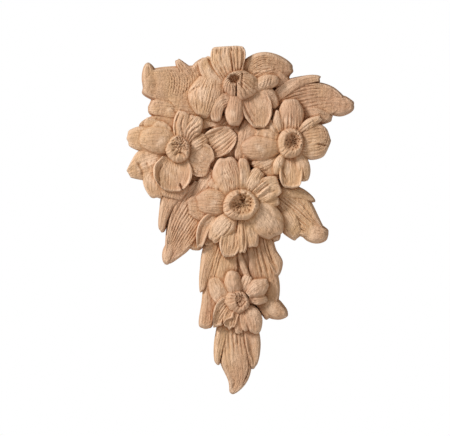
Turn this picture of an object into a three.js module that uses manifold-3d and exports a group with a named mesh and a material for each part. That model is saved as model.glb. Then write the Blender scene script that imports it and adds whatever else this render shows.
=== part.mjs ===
import * as THREE from "three";
import { mergeVertices } from "three/addons/utils/BufferGeometryUtils.js";
import Module from "manifold-3d";

// Carved wood applique: a hanging drop of five flowers over acanthus leaves, one solid.
// Millimetres, +Z up. The flat back lies in the plane Y = 0 and the carving faces -Y.
// The origin is the mounting point in the middle of the back.

// Overall sizes. Places on the drop are per mille: of the width to the right of the mounting point,
// and of the height above it. Heights of the carving over the back are per cent of the relief depth.
const APPLIQUE_WIDTH = 141;
const APPLIQUE_HEIGHT = 216;
const RELIEF_DEPTH = 22;

// Low ground that carries the flowers, the rounding of a lobe's edge, and how far a leaf's wall
// spreads from its top to the back.
const GROUND_THICKNESS = 7.4;
const EDGE_ROLL = 1.5;
const WALL_DRAFT = 1.1;

// Every body starts this far behind the back and is cut flat there.
const BACK_OVERRUN = 1.8;

// Petals start this far from the middle of their flower, under the cup.
const PETAL_START = 5.5;

// Each flower: where it sits, the reach of its petals, its cup across and upright, and the cup's hollow.
const TOP_PLACE = [4, 383];
const TOP_REACH = 33.4;
const TOP_CUP_WIDTH = 22.3;
const TOP_CUP_HEIGHT = 20.3;
const TOP_HOLLOW = 7.8;

const LEFT_PLACE = [-268, 196];
const LEFT_REACH = 34.7;
const LEFT_CUP_WIDTH = 15.6;
const LEFT_CUP_HEIGHT = 17.3;
const LEFT_HOLLOW = 9.7;

const RIGHT_PLACE = [218, 218];
const RIGHT_REACH = 32.2;
const RIGHT_CUP_WIDTH = 16.8;
const RIGHT_CUP_HEIGHT = 18.8;
const RIGHT_HOLLOW = 11.6;

const CENTRE_PLACE = [4, 35];
const CENTRE_REACH = 32.2;
const CENTRE_CUP_WIDTH = 23;
const CENTRE_CUP_HEIGHT = 21.8;
const CENTRE_HOLLOW = 15.3;

const LOWER_PLACE = [-10, -235];
const LOWER_REACH = 22.6;
const LOWER_CUP_WIDTH = 15.8;
const LOWER_CUP_HEIGHT = 16.1;
const LOWER_HOLLOW = 6.9;

// A lobe tip's bluntness: 2 is an ellipse, higher is squarer.
const LEAF_BLUNT = 3.5;
const PETAL_BLUNT = 7;
const GROUND_BLUNT = 6;

// Cells of the surface grid of one lobe, fewer across a narrow one, and sides of one flower cup.
const CELLS_ACROSS = 6;
const CELLS_ACROSS_NARROW = 4;
const NARROW_HALF_WIDTH = 6.2;
const CELLS_ALONG = 4;
const CUP_SIDES = 14;

// Ground lobes. Half widths lie left and right of the way from root to tip, in per mille of the height.
const GROUND = [
  { spine: [[-114, 410], [-18, 284], [26, 112]], left: [86, 132, 126], right: [126, 189, 160] },
  { spine: [[0, 198], [0, 54], [0, -307]], left: [143, 120, 69, 57], right: [155, 132, 69, 57] },
];

// Leaf lobes, from the top left round to the bottom tip, then the stem of the lower flower.
const LEAVES = [
  // top left leaf
  { spine: [[-96, 324], [-246, 375], [-428, 394]], left: [57, 52, 49, 46], right: [103, 89, 60, 40],
    rise: [42, 40, 38, 37], blunt: 8, dish: -3, flutes: 6, groove: 2.2 },
  { spine: [[-342, 352], [-399, 393], [-404, 444]], left: [20, 17, 16], right: [29, 23, 17],
    rise: [28, 37, 41], blunt: 4, dish: -4 },
  { spine: [[-140, 347], [-219, 398], [-274, 456]], left: [29, 26, 14], right: [26, 23, 14],
    rise: [36, 40, 40], blunt: 2.2, dish: -2 },
  { spine: [[-70, 358], [-149, 407], [-191, 447]], left: [34, 34, 29], right: [34, 34, 29],
    rise: [36, 40, 39], blunt: 5, dish: -2, flutes: 3, groove: 2 },
  { spine: [[-167, 307], [-298, 324], [-397, 319]], left: [34, 40, 37], right: [29, 34, 34],
    rise: [38, 43, 38], blunt: 5, dish: -5 },
  { spine: [[-219, 261], [-351, 281], [-434, 269]], left: [23, 23, 14], right: [40, 29, 14],
    rise: [44, 38, 33], blunt: 3, dish: -2 },
  // top right leaf
  { spine: [[-9, 364], [53, 464], [224, 427]], left: [34, 37, 34, 21], right: [40, 57, 57, 29],
    rise: [41, 47, 49, 38], blunt: 8, dish: -5, lean: 5, flutes: 4, groove: 3 },
  { spine: [[96, 415], [193, 410], [202, 364]], left: [23, 23, 17], right: [23, 29, 23], rise: [46, 42, 32],
    blunt: 6, dish: -3 },
  // long right leaf
  { spine: [[149, 341], [237, 395], [346, 401]], left: [14, 14, 11, 9], right: [14, 14, 11, 11],
    rise: [38, 42, 42, 42], blunt: 6 },
  { spine: [[123, 307], [307, 352], [461, 332]], left: [29, 46, 56, 49, 17], right: [40, 57, 63, 53, 26],
    rise: [38, 38, 37, 36, 37], blunt: 4.5, dish: 2, flutes: 5, groove: 2 },
  { spine: [[281, 307], [342, 307], [395, 292]], left: [17, 17, 13], right: [20, 20, 17],
    rise: [34, 42, 39], dish: -5 },
  { spine: [[382, 330], [447, 319], [500, 325]], left: [17, 23, 19], right: [23, 27, 19],
    rise: [33, 43, 40], dish: -5 },
  // lower left leaf
  { spine: [[-237, 83], [-325, 52], [-344, -33]], left: [23, 20, 14, 11], right: [34, 29, 16, 11],
    rise: [40, 41, 41, 39], blunt: 4.5, dish: -4 },
  { spine: [[-140, 83], [-254, -20], [-320, -126]], left: [46, 57, 54, 46, 29], right: [46, 57, 52, 36, 23],
    rise: [42, 38, 36, 36, 39], blunt: 3.4, dish: 2, flutes: 5, groove: 3.6 },
  { spine: [[-140, 37], [-180, -26], [-211, -89]], left: [34, 37, 40], right: [29, 26, 23],
    rise: [40, 36, 33], blunt: 4, flutes: 3, groove: 4 },
  // lower right leaf
  { spine: [[123, 83], [246, 20], [360, -43]], left: [40, 47, 47, 32, 21], right: [52, 49, 49, 47, 29],
    rise: [38, 38, 37, 37, 39], blunt: 5, dish: 1, flutes: 5, groove: 3 },
  { spine: [[175, 89], [263, 80], [322, 52]], left: [26, 17, 13, 9], right: [29, 23, 14, 10],
    rise: [39, 42, 39], blunt: 3, dish: -3 },
  { spine: [[167, 37], [206, -9], [235, -57]], left: [29, 29, 23], right: [26, 32, 26], rise: [30, 41, 37],
    blunt: 4, dish: -5 },
  { spine: [[298, -26], [333, -43], [381, -40]], left: [23, 23, 21], right: [23, 24, 23],
    rise: [35, 42, 40], dish: -5 },
  // middle left leaf
  { spine: [[-79, -20], [-149, -115], [-164, -203]], left: [23, 23, 17, 14], right: [26, 23, 16, 13],
    rise: [38, 40, 39, 38], blunt: 4, dish: -4 },
  { spine: [[-118, -123], [-140, -218], [-151, -309]], left: [26, 23, 26], right: [26, 16, 14, 27],
    rise: [33, 34, 34, 37], blunt: 6, dish: -2 },
  { spine: [[-48, -37], [-75, -160], [-79, -312]], left: [40, 37, 34, 34], right: [34, 37, 37, 34],
    rise: [38, 39, 37, 35], blunt: 4, dish: -2, flutes: 3, groove: 2.6 },
  // middle right leaf
  { spine: [[96, -20], [136, -89], [158, -166]], left: [14, 19, 26, 17], right: [23, 20, 17, 14],
    rise: [37, 39, 40, 39], blunt: 3.2, dish: -3 },
  { spine: [[44, -43], [96, -146], [132, -284]], left: [40, 37, 44, 44, 34], right: [23, 23, 29, 32, 26],
    rise: [38, 39, 37, 33, 35], blunt: 6, dish: 1, flutes: 3, groove: 3.4 },
  { spine: [[114, -226], [149, -266], [202, -268]], left: [20, 24, 20], right: [20, 21, 20],
    rise: [31, 40, 38], dish: -5 },
  // bottom leaf
  { spine: [[-53, -278], [-90, -335], [-99, -415]], left: [17, 17, 14, 11], right: [20, 16, 15, 13],
    rise: [34, 38, 39, 36], dish: -5 },
  { spine: [[26, -266], [53, -341], [59, -423]], left: [26, 26, 24, 14], right: [20, 20, 20, 17],
    rise: [35, 38, 37, 35], dish: 2 },
  { spine: [[-18, -266], [-39, -381], [31, -436], [-35, -494]], left: [32, 36, 37, 36, 29],
    right: [37, 46, 52, 40, 29], rise: [38, 38, 39, 39, 41], blunt: 3.6, dish: -2, flutes: 4, groove: 3.6 },
  // stem
  { spine: [[-10, -80], [4, -129], [42, -175]], left: [7, 10, 13], right: [6, 10, 13], rise: [45, 47, 48],
    blunt: 3.5, dish: -6 },
  { spine: [[-18, -86], [-29, -123], [-35, -163]], left: [5, 9, 9], right: [5, 9, 9], rise: [45, 43, 40],
    blunt: 3.5, dish: -4 },
];

// Flowers. A petal turns anticlockwise from the right. Its lengths and half widths are per cent of the
// flower's reach, and the shift of a cup's hollow is per cent of half the cup.
const FLOWERS = [
  { place: TOP_PLACE, reach: TOP_REACH,
    cup: { width: TOP_CUP_WIDTH, height: TOP_CUP_HEIGHT, hollow: TOP_HOLLOW,
      shift: [-33, 40], top: 90, deep: 27, fall: 30 },
    petals: [
      { turn: 205, reach: 100, left: [26, 35, 33], right: [26, 33, 31], rise: [40, 57, 45], dish: -7,
        flutes: 5, groove: 2.2 },
      { turn: 146, reach: 84, left: [15, 22, 19], right: [13, 19, 15], rise: [40, 55, 50], dish: -3 },
      { spine: [[-7, 3], [-17, 40], [-23, 72]], left: [17, 26, 32, 31], right: [15, 20, 27, 31],
        rise: [42, 61, 61], blunt: 9, dish: -3, flutes: 3, groove: 3.4 },
      { spine: [[-17, -21], [-52, -25], [-47, -67]], left: [7, 11, 11], right: [9, 14, 13],
        rise: [42, 58, 50], dish: -4 },
      { turn: 262, reach: 77, left: [15, 19, 19, 17], right: [15, 19, 19, 17], rise: [42, 62, 56],
        blunt: 3.6, dish: -7 },
      { spine: [[13, -16], [33, -42], [33, -81]], left: [22, 30, 30, 22], right: [13, 26, 26, 20],
        rise: [42, 58, 56], blunt: 4, dish: 3, flutes: 4, groove: 1.2 },
      { spine: [[24, -1], [59, 10], [65, -42]], left: [13, 15, 13, 9], right: [15, 22, 19, 13],
        rise: [42, 57, 49], blunt: 4.4, dish: -5, flutes: 3, groove: 4 },
    ] },
  { place: LEFT_PLACE, reach: LEFT_REACH,
    cup: { width: LEFT_CUP_WIDTH, height: LEFT_CUP_HEIGHT, hollow: LEFT_HOLLOW,
      shift: [21, 14], top: 90, deep: 17, fall: 30 },
    petals: [
      { spine: [[-16, -17], [-55, -17], [-84, -44]], left: [18, 25, 23, 14], right: [16, 21, 21, 18],
        rise: [40, 46, 41, 37], blunt: 5, dish: -2 },
      { spine: [[-16, -31], [-46, -42], [-50, -83]], left: [18, 25, 25], right: [14, 20, 18],
        rise: [38, 42, 39], blunt: 5, dish: -2 },
      { turn: 140, reach: 80, left: [16, 18, 16], right: [16, 16, 14], rise: [36, 42, 38], dish: -2 },
      { turn: 11, reach: 100, left: [21, 30, 32], right: [23, 30, 30], rise: [38, 45, 46], dish: 2,
        flutes: 3, groove: 2.6 },
      { turn: 33, reach: 55, left: [9, 12, 12], right: [9, 14, 14], rise: [44, 55, 50], dish: -4 },
      { turn: 55, reach: 71, left: [7, 14, 16], right: [7, 14, 16], rise: [44, 59, 53], dish: -3, flutes: 3,
        groove: 3 },
      { turn: 82.4, reach: 71, left: [5, 10, 12], right: [5, 10, 12], rise: [44, 59, 57], blunt: 5,
        dish: -3 },
      { turn: 102, reach: 66, left: [5, 7, 7], right: [5, 6, 7], rise: [44, 56, 50], dish: -4 },
      { turn: 122, reach: 59, left: [7, 11, 11], right: [7, 11, 11], rise: [44, 54, 47], dish: -5 },
      { turn: 164, reach: 94, left: [23, 28, 28, 23], right: [21, 26, 27, 25], rise: [42, 59, 58, 45],
        blunt: 5, dish: -8 },
      { turn: 335, reach: 67, left: [20, 30, 30], right: [21, 30, 30], rise: [42, 52, 51], dish: 5,
        flutes: 3, groove: 2.4 },
      { turn: 262, reach: 85, left: [21, 27, 27], right: [21, 27, 25], rise: [38, 46, 46], dish: -3 },
      { spine: [[-18, -22], [-50, -26], [-43, -61]], left: [5, 9, 9], right: [7, 9, 8], rise: [46, 59, 57],
        blunt: 3.6, dish: -5 },
      { turn: 266, reach: 75, left: [23, 29, 29], right: [21, 29, 28], rise: [46, 55, 56], blunt: 4.4,
        dish: 7 },
    ] },
  { place: RIGHT_PLACE, reach: RIGHT_REACH,
    cup: { width: RIGHT_CUP_WIDTH, height: RIGHT_CUP_HEIGHT, hollow: RIGHT_HOLLOW,
      shift: [25, 11], top: 94, deep: 20, fall: 30 },
    petals: [
      { turn: 212, reach: 73, left: [13, 17, 15], right: [13, 17, 15], rise: [37, 45, 40], blunt: 5,
        dish: -3 },
      { turn: 182, reach: 100, left: [19, 27, 27], right: [19, 25, 25], rise: [42, 53, 45], dish: -7 },
      { turn: 89, reach: 83, left: [17, 24, 25, 21], right: [17, 24, 27, 21], rise: [42, 57, 58, 49],
        blunt: 4, dish: -6, flutes: 3, groove: 5.5 },
      { turn: 115, reach: 68, left: [6, 11, 9], right: [6, 11, 8], rise: [44, 57, 51], blunt: 2.2,
        dish: -5 },
      { turn: 40, reach: 74, left: [8, 10, 10], right: [8, 10, 10], rise: [44, 59, 54], dish: -4 },
      { turn: 1, reach: 77, left: [23, 35, 37], right: [25, 37, 37], rise: [42, 56, 48], blunt: 5, dish: -5,
        flutes: 5, groove: 2.2 },
      { turn: 294, reach: 81, left: [13, 15, 12], right: [12, 12, 10], rise: [42, 54, 47], dish: -4 },
      { turn: 274, reach: 87, left: [15, 19, 19], right: [17, 22, 23], rise: [42, 52, 54], blunt: 5,
        dish: 5 },
      { turn: 244.5, reach: 66, left: [6, 11, 10], right: [6, 11, 10], rise: [42, 56, 51], dish: -5 },
    ] },
  { place: CENTRE_PLACE, reach: CENTRE_REACH,
    cup: { width: CENTRE_CUP_WIDTH, height: CENTRE_CUP_HEIGHT, hollow: CENTRE_HOLLOW,
      shift: [15, 10], top: 100, deep: 24, fall: 36 },
    petals: [
      { turn: 178, reach: 100, left: [27, 31, 31, 27], right: [25, 31, 31, 27], rise: [42, 55, 53, 41],
        dish: -6, flutes: 3, groove: 3.4 },
      { spine: [[-13, 23], [-19, 63], [-35, 95]], left: [17, 28, 28, 23], right: [15, 21, 24, 23],
        rise: [42, 61, 60, 52], blunt: 4.4, dish: -6, flutes: 4, groove: 4.4 },
      { turn: 139, reach: 81, left: [8, 12, 12], right: [8, 12, 13], rise: [41, 54, 47], dish: -3 },
      { spine: [[-2, 28], [0, 63], [4, 93]], left: [8, 10, 10], right: [12, 16, 13], rise: [44, 58, 51],
        blunt: 5, dish: -4 },
      { turn: 62, reach: 82, left: [12, 15, 14], right: [12, 16, 16], rise: [43, 58, 51], blunt: 5,
        dish: -5 },
      { turn: 30, reach: 86, left: [15, 23, 25], right: [15, 22, 24], rise: [43, 58, 54], dish: -1 },
      { turn: 7, reach: 76, left: [8, 11, 11], right: [8, 11, 10], rise: [42, 53, 48], dish: -3 },
      { turn: 325, reach: 92, left: [25, 37, 35], right: [23, 35, 35], rise: [42, 59, 57, 45], blunt: 5,
        dish: -6 },
      { turn: 291, reach: 84, left: [12, 14, 15], right: [12, 14, 15], rise: [42, 56, 50], blunt: 5,
        dish: -4 },
      { spine: [[-28, -14], [-67, -20], [-78, -79]], left: [8, 15, 13, 9], right: [10, 12, 12, 10],
        rise: [44, 50, 46, 46], blunt: 3.4, dish: 4 },
      { spine: [[-2, -27], [-25, -48], [-28, -95]], left: [12, 19, 21, 19], right: [8, 17, 23, 19],
        rise: [44, 57, 55], blunt: 4, dish: 2 },
      { spine: [[-13, -22], [-32, -29], [-57, -68]], left: [10, 16, 16, 12], right: [10, 15, 16, 12],
        rise: [46, 60, 59, 52], blunt: 4.4, dish: -4 },
      { turn: 272, reach: 89, left: [6, 10, 10], right: [6, 10, 10], rise: [44, 59, 54], blunt: 3.2,
        dish: -4 },
    ] },
  { place: LOWER_PLACE, reach: LOWER_REACH,
    cup: { width: LOWER_CUP_WIDTH, height: LOWER_CUP_HEIGHT, hollow: LOWER_HOLLOW,
      shift: [23, 8], top: 86, deep: 13, fall: 28 },
    petals: [
      { turn: 105, reach: 86, left: [22, 26, 26], right: [22, 26, 26], rise: [42, 60, 53], blunt: 4,
        dish: -8 },
      { turn: 157, reach: 79, left: [22, 30, 33], right: [22, 27, 30], rise: [40, 51, 45], dish: -5 },
      { turn: 222, reach: 99, left: [25, 33, 34], right: [25, 33, 34], rise: [41, 51, 54], dish: 5 },
      { turn: 312, reach: 100, left: [25, 36, 34], right: [25, 36, 36], rise: [42, 58, 52], dish: -3 },
      { turn: 38, reach: 90, left: [22, 29, 21], right: [22, 29, 21], rise: [42, 58, 51], blunt: 3.4,
        dish: -7 },
      { turn: 2, reach: 85, left: [16, 19, 16], right: [16, 19, 16], rise: [42, 53, 51], dish: 2 },
      { turn: 65, reach: 78, left: [16, 20, 20], right: [16, 20, 19], rise: [42, 55, 53], blunt: 5,
        dish: -2 },
    ] },
];

// Place on the drop, as a point with z up.
function onDrop([x, z]) {
  return new THREE.Vector2((x / 1000) * APPLIQUE_WIDTH, (z / 1000) * APPLIQUE_HEIGHT);
}

// Height over the back of a share of the relief depth.
function raised(share) {
  return (share / 100) * RELIEF_DEPTH;
}

// Smooth curve through evenly spaced values.
function through(values, share) {
  const last = values.length - 1;
  const place = THREE.MathUtils.clamp(share, 0, 1) * last;
  const i = Math.min(Math.floor(place), last - 1);
  const f = place - i;
  const b = values[i];
  const c = values[i + 1];
  const a = i > 0 ? values[i - 1] : 2 * b - c;
  const d = i + 2 <= last ? values[i + 2] : 2 * c - b;
  return b + 0.5 * f * (c - a + f * (2 * a - 5 * b + 4 * c - d + f * (3 * (b - c) + d - a)));
}

// Middle line of a lobe from root to tip.
function spineCurve(points) {
  return points.length === 3
    ? new THREE.QuadraticBezierCurve(...points)
    : new THREE.CubicBezierCurve(...points);
}

// Relief of a lobe in millimetres.
function reliefOf({ rise, dish = 0, lean = 0, groove = 0 }) {
  return { rise: rise.map(raised), dish: raised(dish), lean: raised(lean), groove: raised(groove) };
}

// Lobe of a leaf, sized by the height of the drop.
function leafLobe(leaf) {
  const widths = (row) => row.map((width) => (width / 1000) * APPLIQUE_HEIGHT);
  return {
    blunt: LEAF_BLUNT,
    draft: WALL_DRAFT,
    roll: EDGE_ROLL,
    ...leaf,
    ...reliefOf(leaf),
    left: widths(leaf.left),
    right: widths(leaf.right),
    curve: spineCurve(leaf.spine.map(onDrop)),
  };
}

function groundLobe(ground) {
  const lobe = leafLobe({ ...ground, rise: [0, 0], blunt: GROUND_BLUNT, draft: 0, roll: 0 });
  return { ...lobe, rise: [GROUND_THICKNESS, GROUND_THICKNESS] };
}

// Way of a petal from the middle of its flower: straight at its turn, or along its own spine.
function petalSteps(petal, reach) {
  if (petal.spine) {
    return petal.spine.map(([x, z]) => new THREE.Vector2(x, z).multiplyScalar(reach / 100));
  }
  const angle = THREE.MathUtils.degToRad(petal.turn);
  const out = new THREE.Vector2(Math.cos(angle), Math.sin(angle));
  const tip = (petal.reach / 100) * reach;
  return [PETAL_START, (PETAL_START + tip) / 2, tip].map((step) => out.clone().multiplyScalar(step));
}

// Lobe of a petal, sized by the reach of its flower.
function petalLobe(centre, reach, petal) {
  const widths = (row) => row.map((width) => (width / 100) * reach);
  return {
    blunt: PETAL_BLUNT,
    draft: 0,
    roll: EDGE_ROLL,
    ...petal,
    ...reliefOf(petal),
    left: widths(petal.left),
    right: widths(petal.right),
    curve: spineCurve(petalSteps(petal, reach).map((step) => step.add(centre))),
  };
}

// Point of a lobe: u runs across from -1 on the right to 1 on the left, v from root to tip.
function lobePoint(lobe, u, v) {
  const cut = 1 / (1 + lobe.blunt);
  const along = v * (1 - cut * Math.abs(u) ** lobe.blunt);
  const across = u * (1 - cut * v ** lobe.blunt);
  const way = lobe.curve.getTangent(along);
  const side = new THREE.Vector2(-way.y, way.x);
  const half = through(u > 0 ? lobe.left : lobe.right, along);
  const place = lobe.curve.getPoint(along).addScaledVector(side, across * half);
  let height = through(lobe.rise, v) + lobe.dish * (u * u - 0.33) + lobe.lean * u * v;
  if (lobe.flutes) {
    const ridge = Math.abs(Math.sin((Math.PI * lobe.flutes * (u + 1)) / 2));
    height -= lobe.groove * (1 - ridge) * THREE.MathUtils.smoothstep(1 - v, 0, 0.3);
  }
  const rim = Math.max(Math.abs(u), v);
  if (rim > 0.999) {
    height -= lobe.roll;
  }
  const spread = side.multiplyScalar(across).addScaledVector(way, v * v).multiplyScalar(lobe.draft);
  return { place, height, spread };
}

// Closed body of a lobe: carved top, side walls and a hidden foot behind the back plane.
function lobeGeometry(lobe) {
  const plain = Math.max(...lobe.left, ...lobe.right) > NARROW_HALF_WIDTH ? CELLS_ACROSS : CELLS_ACROSS_NARROW;
  const cellsAcross = lobe.flutes ? 2 * lobe.flutes : plain;
  const geometry = new THREE.BoxGeometry(1, 1, 1, cellsAcross, CELLS_ALONG, 1);
  const spots = geometry.attributes.position;
  for (let i = 0; i < spots.count; i += 1) {
    const even = -2 * spots.getX(i);
    const u = lobe.flutes ? even : Math.sign(even) * (1 - (1 - Math.abs(even)) ** 1.6);
    const v = 1 - (0.5 - spots.getY(i)) ** 1.4;
    const { place, height, spread } = lobePoint(lobe, u, v);
    if (spots.getZ(i) > 0) {
      spots.setXYZ(i, place.x, -height, place.y);
    } else {
      place.add(spread);
      spots.setXYZ(i, place.x, BACK_OVERRUN, place.y);
    }
  }
  return geometry;
}

// Cup of a flower: turned profile, stretched upright, whose hollow is shifted off the centre.
function cupGeometry(centre, cup) {
  const radius = cup.width / 2;
  const hollow = cup.hollow / 2;
  const rim = radius - hollow;
  const top = raised(cup.top);
  const deep = raised(cup.deep);
  const fall = raised(cup.fall);
  const profile = [
    [0, -BACK_OVERRUN],
    [radius, -BACK_OVERRUN],
    [radius, top - fall],
    [hollow + rim * 0.85, top - fall * 0.5],
    [hollow + rim * 0.45, top - fall * 0.1],
    [hollow, top],
    [hollow * 0.8, top - deep * 0.4],
    [hollow * 0.45, top - deep * 0.85],
    [0, top - deep],
  ];
  const geometry = new THREE.LatheGeometry(profile.map((p) => new THREE.Vector2(...p)), CUP_SIDES);
  const spots = geometry.attributes.position;
  const upright = cup.height / cup.width;
  const [shiftX, shiftZ] = cup.shift.map((share) => (share / 100) * radius);
  for (let i = 0; i < spots.count; i += 1) {
    const x = spots.getX(i);
    const z = spots.getZ(i);
    const height = spots.getY(i);
    const slide = height > 0 ? 1 - THREE.MathUtils.smoothstep(Math.hypot(x, z) / radius, 0.4, 1) : 0;
    const right = centre.x + x + shiftX * slide;
    const up = centre.y + (shiftZ * slide - z) * upright;
    spots.setXYZ(i, right, -height, up);
  }
  return geometry;
}

// Welded triangles of a geometry without the collapsed ones.
function welded(geometry) {
  geometry.deleteAttribute("normal");
  geometry.deleteAttribute("uv");
  const merged = mergeVertices(geometry, 1e-4);
  const corners = merged.index.array;
  const kept = [];
  for (let i = 0; i < corners.length; i += 3) {
    const [a, b, c] = [corners[i], corners[i + 1], corners[i + 2]];
    if (a !== b && b !== c && c !== a) {
      kept.push(a, b, c);
    }
  }
  merged.setIndex(kept);
  return merged;
}

const wasm = await Module();
wasm.setup();

function solidOf(geometry) {
  const clean = welded(geometry);
  return new wasm.Manifold(new wasm.Mesh({
    numProp: 3,
    vertProperties: new Float32Array(clean.attributes.position.array),
    triVerts: new Uint32Array(clean.index.array),
  }));
}

// The whole drop, joined from its lobes and cups and cut flat behind.
function carvedDrop() {
  const geometries = [...GROUND.map(groundLobe), ...LEAVES.map(leafLobe)].map(lobeGeometry);
  for (const { place, reach, cup, petals } of FLOWERS) {
    const centre = onDrop(place);
    for (const petal of petals) {
      geometries.push(lobeGeometry(petalLobe(centre, reach, petal)));
    }
    geometries.push(cupGeometry(centre, cup));
  }
  let solid = null;
  for (const geometry of geometries) {
    const body = solidOf(geometry);
    solid = solid ? solid.add(body) : body;
  }
  const behind = new THREE.BoxGeometry(3 * APPLIQUE_WIDTH, BACK_OVERRUN * 2, 3 * APPLIQUE_HEIGHT);
  behind.translate(0, BACK_OVERRUN, 0);
  return solid.subtract(solidOf(behind));
}

function meshOf(solid, name, material) {
  const { vertProperties, triVerts } = solid.getMesh();
  const geometry = new THREE.BufferGeometry();
  geometry.setAttribute("position", new THREE.BufferAttribute(new Float32Array(vertProperties), 3));
  geometry.setIndex(new THREE.BufferAttribute(new Uint32Array(triVerts), 1));
  geometry.computeVertexNormals();
  const mesh = new THREE.Mesh(geometry, material);
  mesh.name = name;
  return mesh;
}

const bareWood = new THREE.MeshStandardMaterial({ color: 0xb99374, roughness: 0.85, metalness: 0 });

const group = new THREE.Group();
group.add(meshOf(carvedDrop(), "applique", bareWood));

export default group;
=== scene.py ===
"""Carved wood applique: a hanging drop of five flowers over fluted acanthus leaves.

The drop is laid out on a sheet: x to the right, y down, 349 units to its height. Heights of the
carving are per cent of the relief depth. The flat back lies in Y = 0 and the carving faces -Y.
"""

import logging
import math
from dataclasses import dataclass, replace
from enum import Enum

import bmesh
import bpy
import numpy as np
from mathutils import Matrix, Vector


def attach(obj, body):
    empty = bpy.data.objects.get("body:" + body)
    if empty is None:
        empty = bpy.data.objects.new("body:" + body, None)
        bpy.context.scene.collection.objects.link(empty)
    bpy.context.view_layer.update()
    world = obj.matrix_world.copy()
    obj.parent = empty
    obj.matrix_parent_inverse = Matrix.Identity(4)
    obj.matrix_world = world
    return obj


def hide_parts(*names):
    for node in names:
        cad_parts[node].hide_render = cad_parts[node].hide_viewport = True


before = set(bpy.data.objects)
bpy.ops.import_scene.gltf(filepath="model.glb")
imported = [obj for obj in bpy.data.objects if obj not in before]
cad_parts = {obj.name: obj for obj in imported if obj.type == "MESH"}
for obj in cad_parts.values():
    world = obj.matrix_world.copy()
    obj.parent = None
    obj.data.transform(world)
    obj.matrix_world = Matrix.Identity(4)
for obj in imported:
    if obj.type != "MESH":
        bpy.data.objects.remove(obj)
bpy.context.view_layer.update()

Array = np.ndarray
Point = tuple[float, float]
Row = tuple[float, ...]
Colour = tuple[float, float, float, float]
Feed = bpy.types.NodeSocket | float | Colour

log = logging.getLogger("applique")

# The mount's place on the sheet, and metres for one unit of the sheet and for the full relief.
MOUNT_ON_SHEET: Point = (240.0, 219.0)
SHEET_UNIT = 0.216 / 349.0
RELIEF_DEPTH = 0.022
# Mesh cell in sheet units, and how far each body reaches behind the back before it is cut flat.
CELL = 0.9
BACK_OVERRUN = 3.0
# Passes of the mesh cleaning, and the angle from which an edge stays sharp.
CLEANINGS = 3
SHARP_ANGLE = math.radians(38)
# Depth of the pockets between the flowers, per cent of the relief.
POCKET_DEPTH = 17.0 * 1.4
# Name of the map that holds each point's place across and along the gouge strokes.
STROKES = "strokes"
# Turn from one stamen to the next, which spreads them evenly.
GOLDEN_ANGLE = 2.399963


class Solver(Enum):
    """Ways of joining closed bodies."""

    FAST = "MANIFOLD"
    EXACT = "EXACT"


def smooth(low: float, high: float, value: Array) -> Array:
    """Ease from 0 at low to 1 at high."""
    t = np.clip((value - low) / (high - low), 0.0, 1.0)
    return t * t * (3.0 - 2.0 * t)


def crowded(share: Array, much: float) -> Array:
    """Move shares closer together towards the rim, at 1 and -1, where the form turns away."""
    return (1 - much) * share + much * np.sin(share * math.pi / 2)


def through(values: Row, share: Array) -> Array:
    """Smooth curve through evenly spaced values.

    Args:
        values: the values, two or more.
        share: where to read it, from 0 at the first value to 1 at the last.

    Returns:
        The curve's value at each share.
    """
    last = len(values) - 1
    padded = np.array([2 * values[0] - values[1], *values, 2 * values[-1] - values[-2]])
    place = np.clip(share, 0.0, 1.0) * last
    i = np.minimum(np.floor(place).astype(int), last - 1)
    f = place - i
    a, b, c, d = padded[i], padded[i + 1], padded[i + 2], padded[i + 3]
    return b + 0.5 * f * (c - a + f * (2 * a - 5 * b + 4 * c - d + f * (3 * (b - c) + d - a)))


def bezier(points: Array, share: Array) -> Array:
    """Points of a Bezier curve at each share of its way."""
    level = [np.broadcast_to(p, share.shape + (2,)) for p in points]
    t = share[..., None]
    while len(level) > 1:
        level = [a * (1 - t) + b * t for a, b in zip(level[:-1], level[1:])]
    return level[0]


def from_sheet(point: Point) -> Point:
    """Bring a point of the sheet to the mount's frame, z up, still in sheet units."""
    return (point[0] - MOUNT_ON_SHEET[0], MOUNT_ON_SHEET[1] - point[1])


class Unevenness:
    """Seeded smooth unevenness, as a hand and a gouge leave it."""

    TABLE = 64

    def __init__(self, seed: int) -> None:
        """Draw the table of the given seed."""
        self.table = np.random.default_rng(seed).uniform(-1.0, 1.0, (self.TABLE, self.TABLE))

    def at(self, x: Array, y: Array) -> Array:
        """Value between -1 and 1 at each place; it changes over a distance of about 1."""
        x, y = np.broadcast_arrays(np.asarray(x, float), np.asarray(y, float))
        i, j = np.floor(x).astype(int), np.floor(y).astype(int)
        fx, fy = x - i, y - j
        fx, fy = fx * fx * (3 - 2 * fx), fy * fy * (3 - 2 * fy)
        i0, i1 = i % self.TABLE, (i + 1) % self.TABLE
        j0, j1 = j % self.TABLE, (j + 1) % self.TABLE
        low = self.table[i0, j0] * (1 - fx) + self.table[i1, j0] * fx
        high = self.table[i0, j1] * (1 - fx) + self.table[i1, j1] * fx
        return low * (1 - fy) + high * fy


@dataclass(frozen=True)
class Wave:
    """One size of the hand's unevenness, in sheet units, and its height in per cent."""

    across: float
    along: float
    height: float
    start: Point

    def at(self, x: Array, z: Array) -> Array:
        """Height of the wave at each place."""
        return self.height * HAND.at(x / self.across + self.start[0], z / self.along + self.start[1])


HAND = Unevenness(41)
BROAD = Wave(5.2, 7.0, 0.9, (3.0, 0.0))
MIDDLE = Wave(2.3, 3.6, 0.65, (9.0, 20.0))
FINE = Wave(1.1, 2.2, 0.45, (31.0, 7.0))


def hand_marks(x: Array, z: Array, rough: float) -> Array:
    """Unevenness of the carved surface, the same for all bodies that share a place."""
    return rough * (BROAD.at(x, z) + MIDDLE.at(x, z) + FINE.at(x, z))


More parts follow.
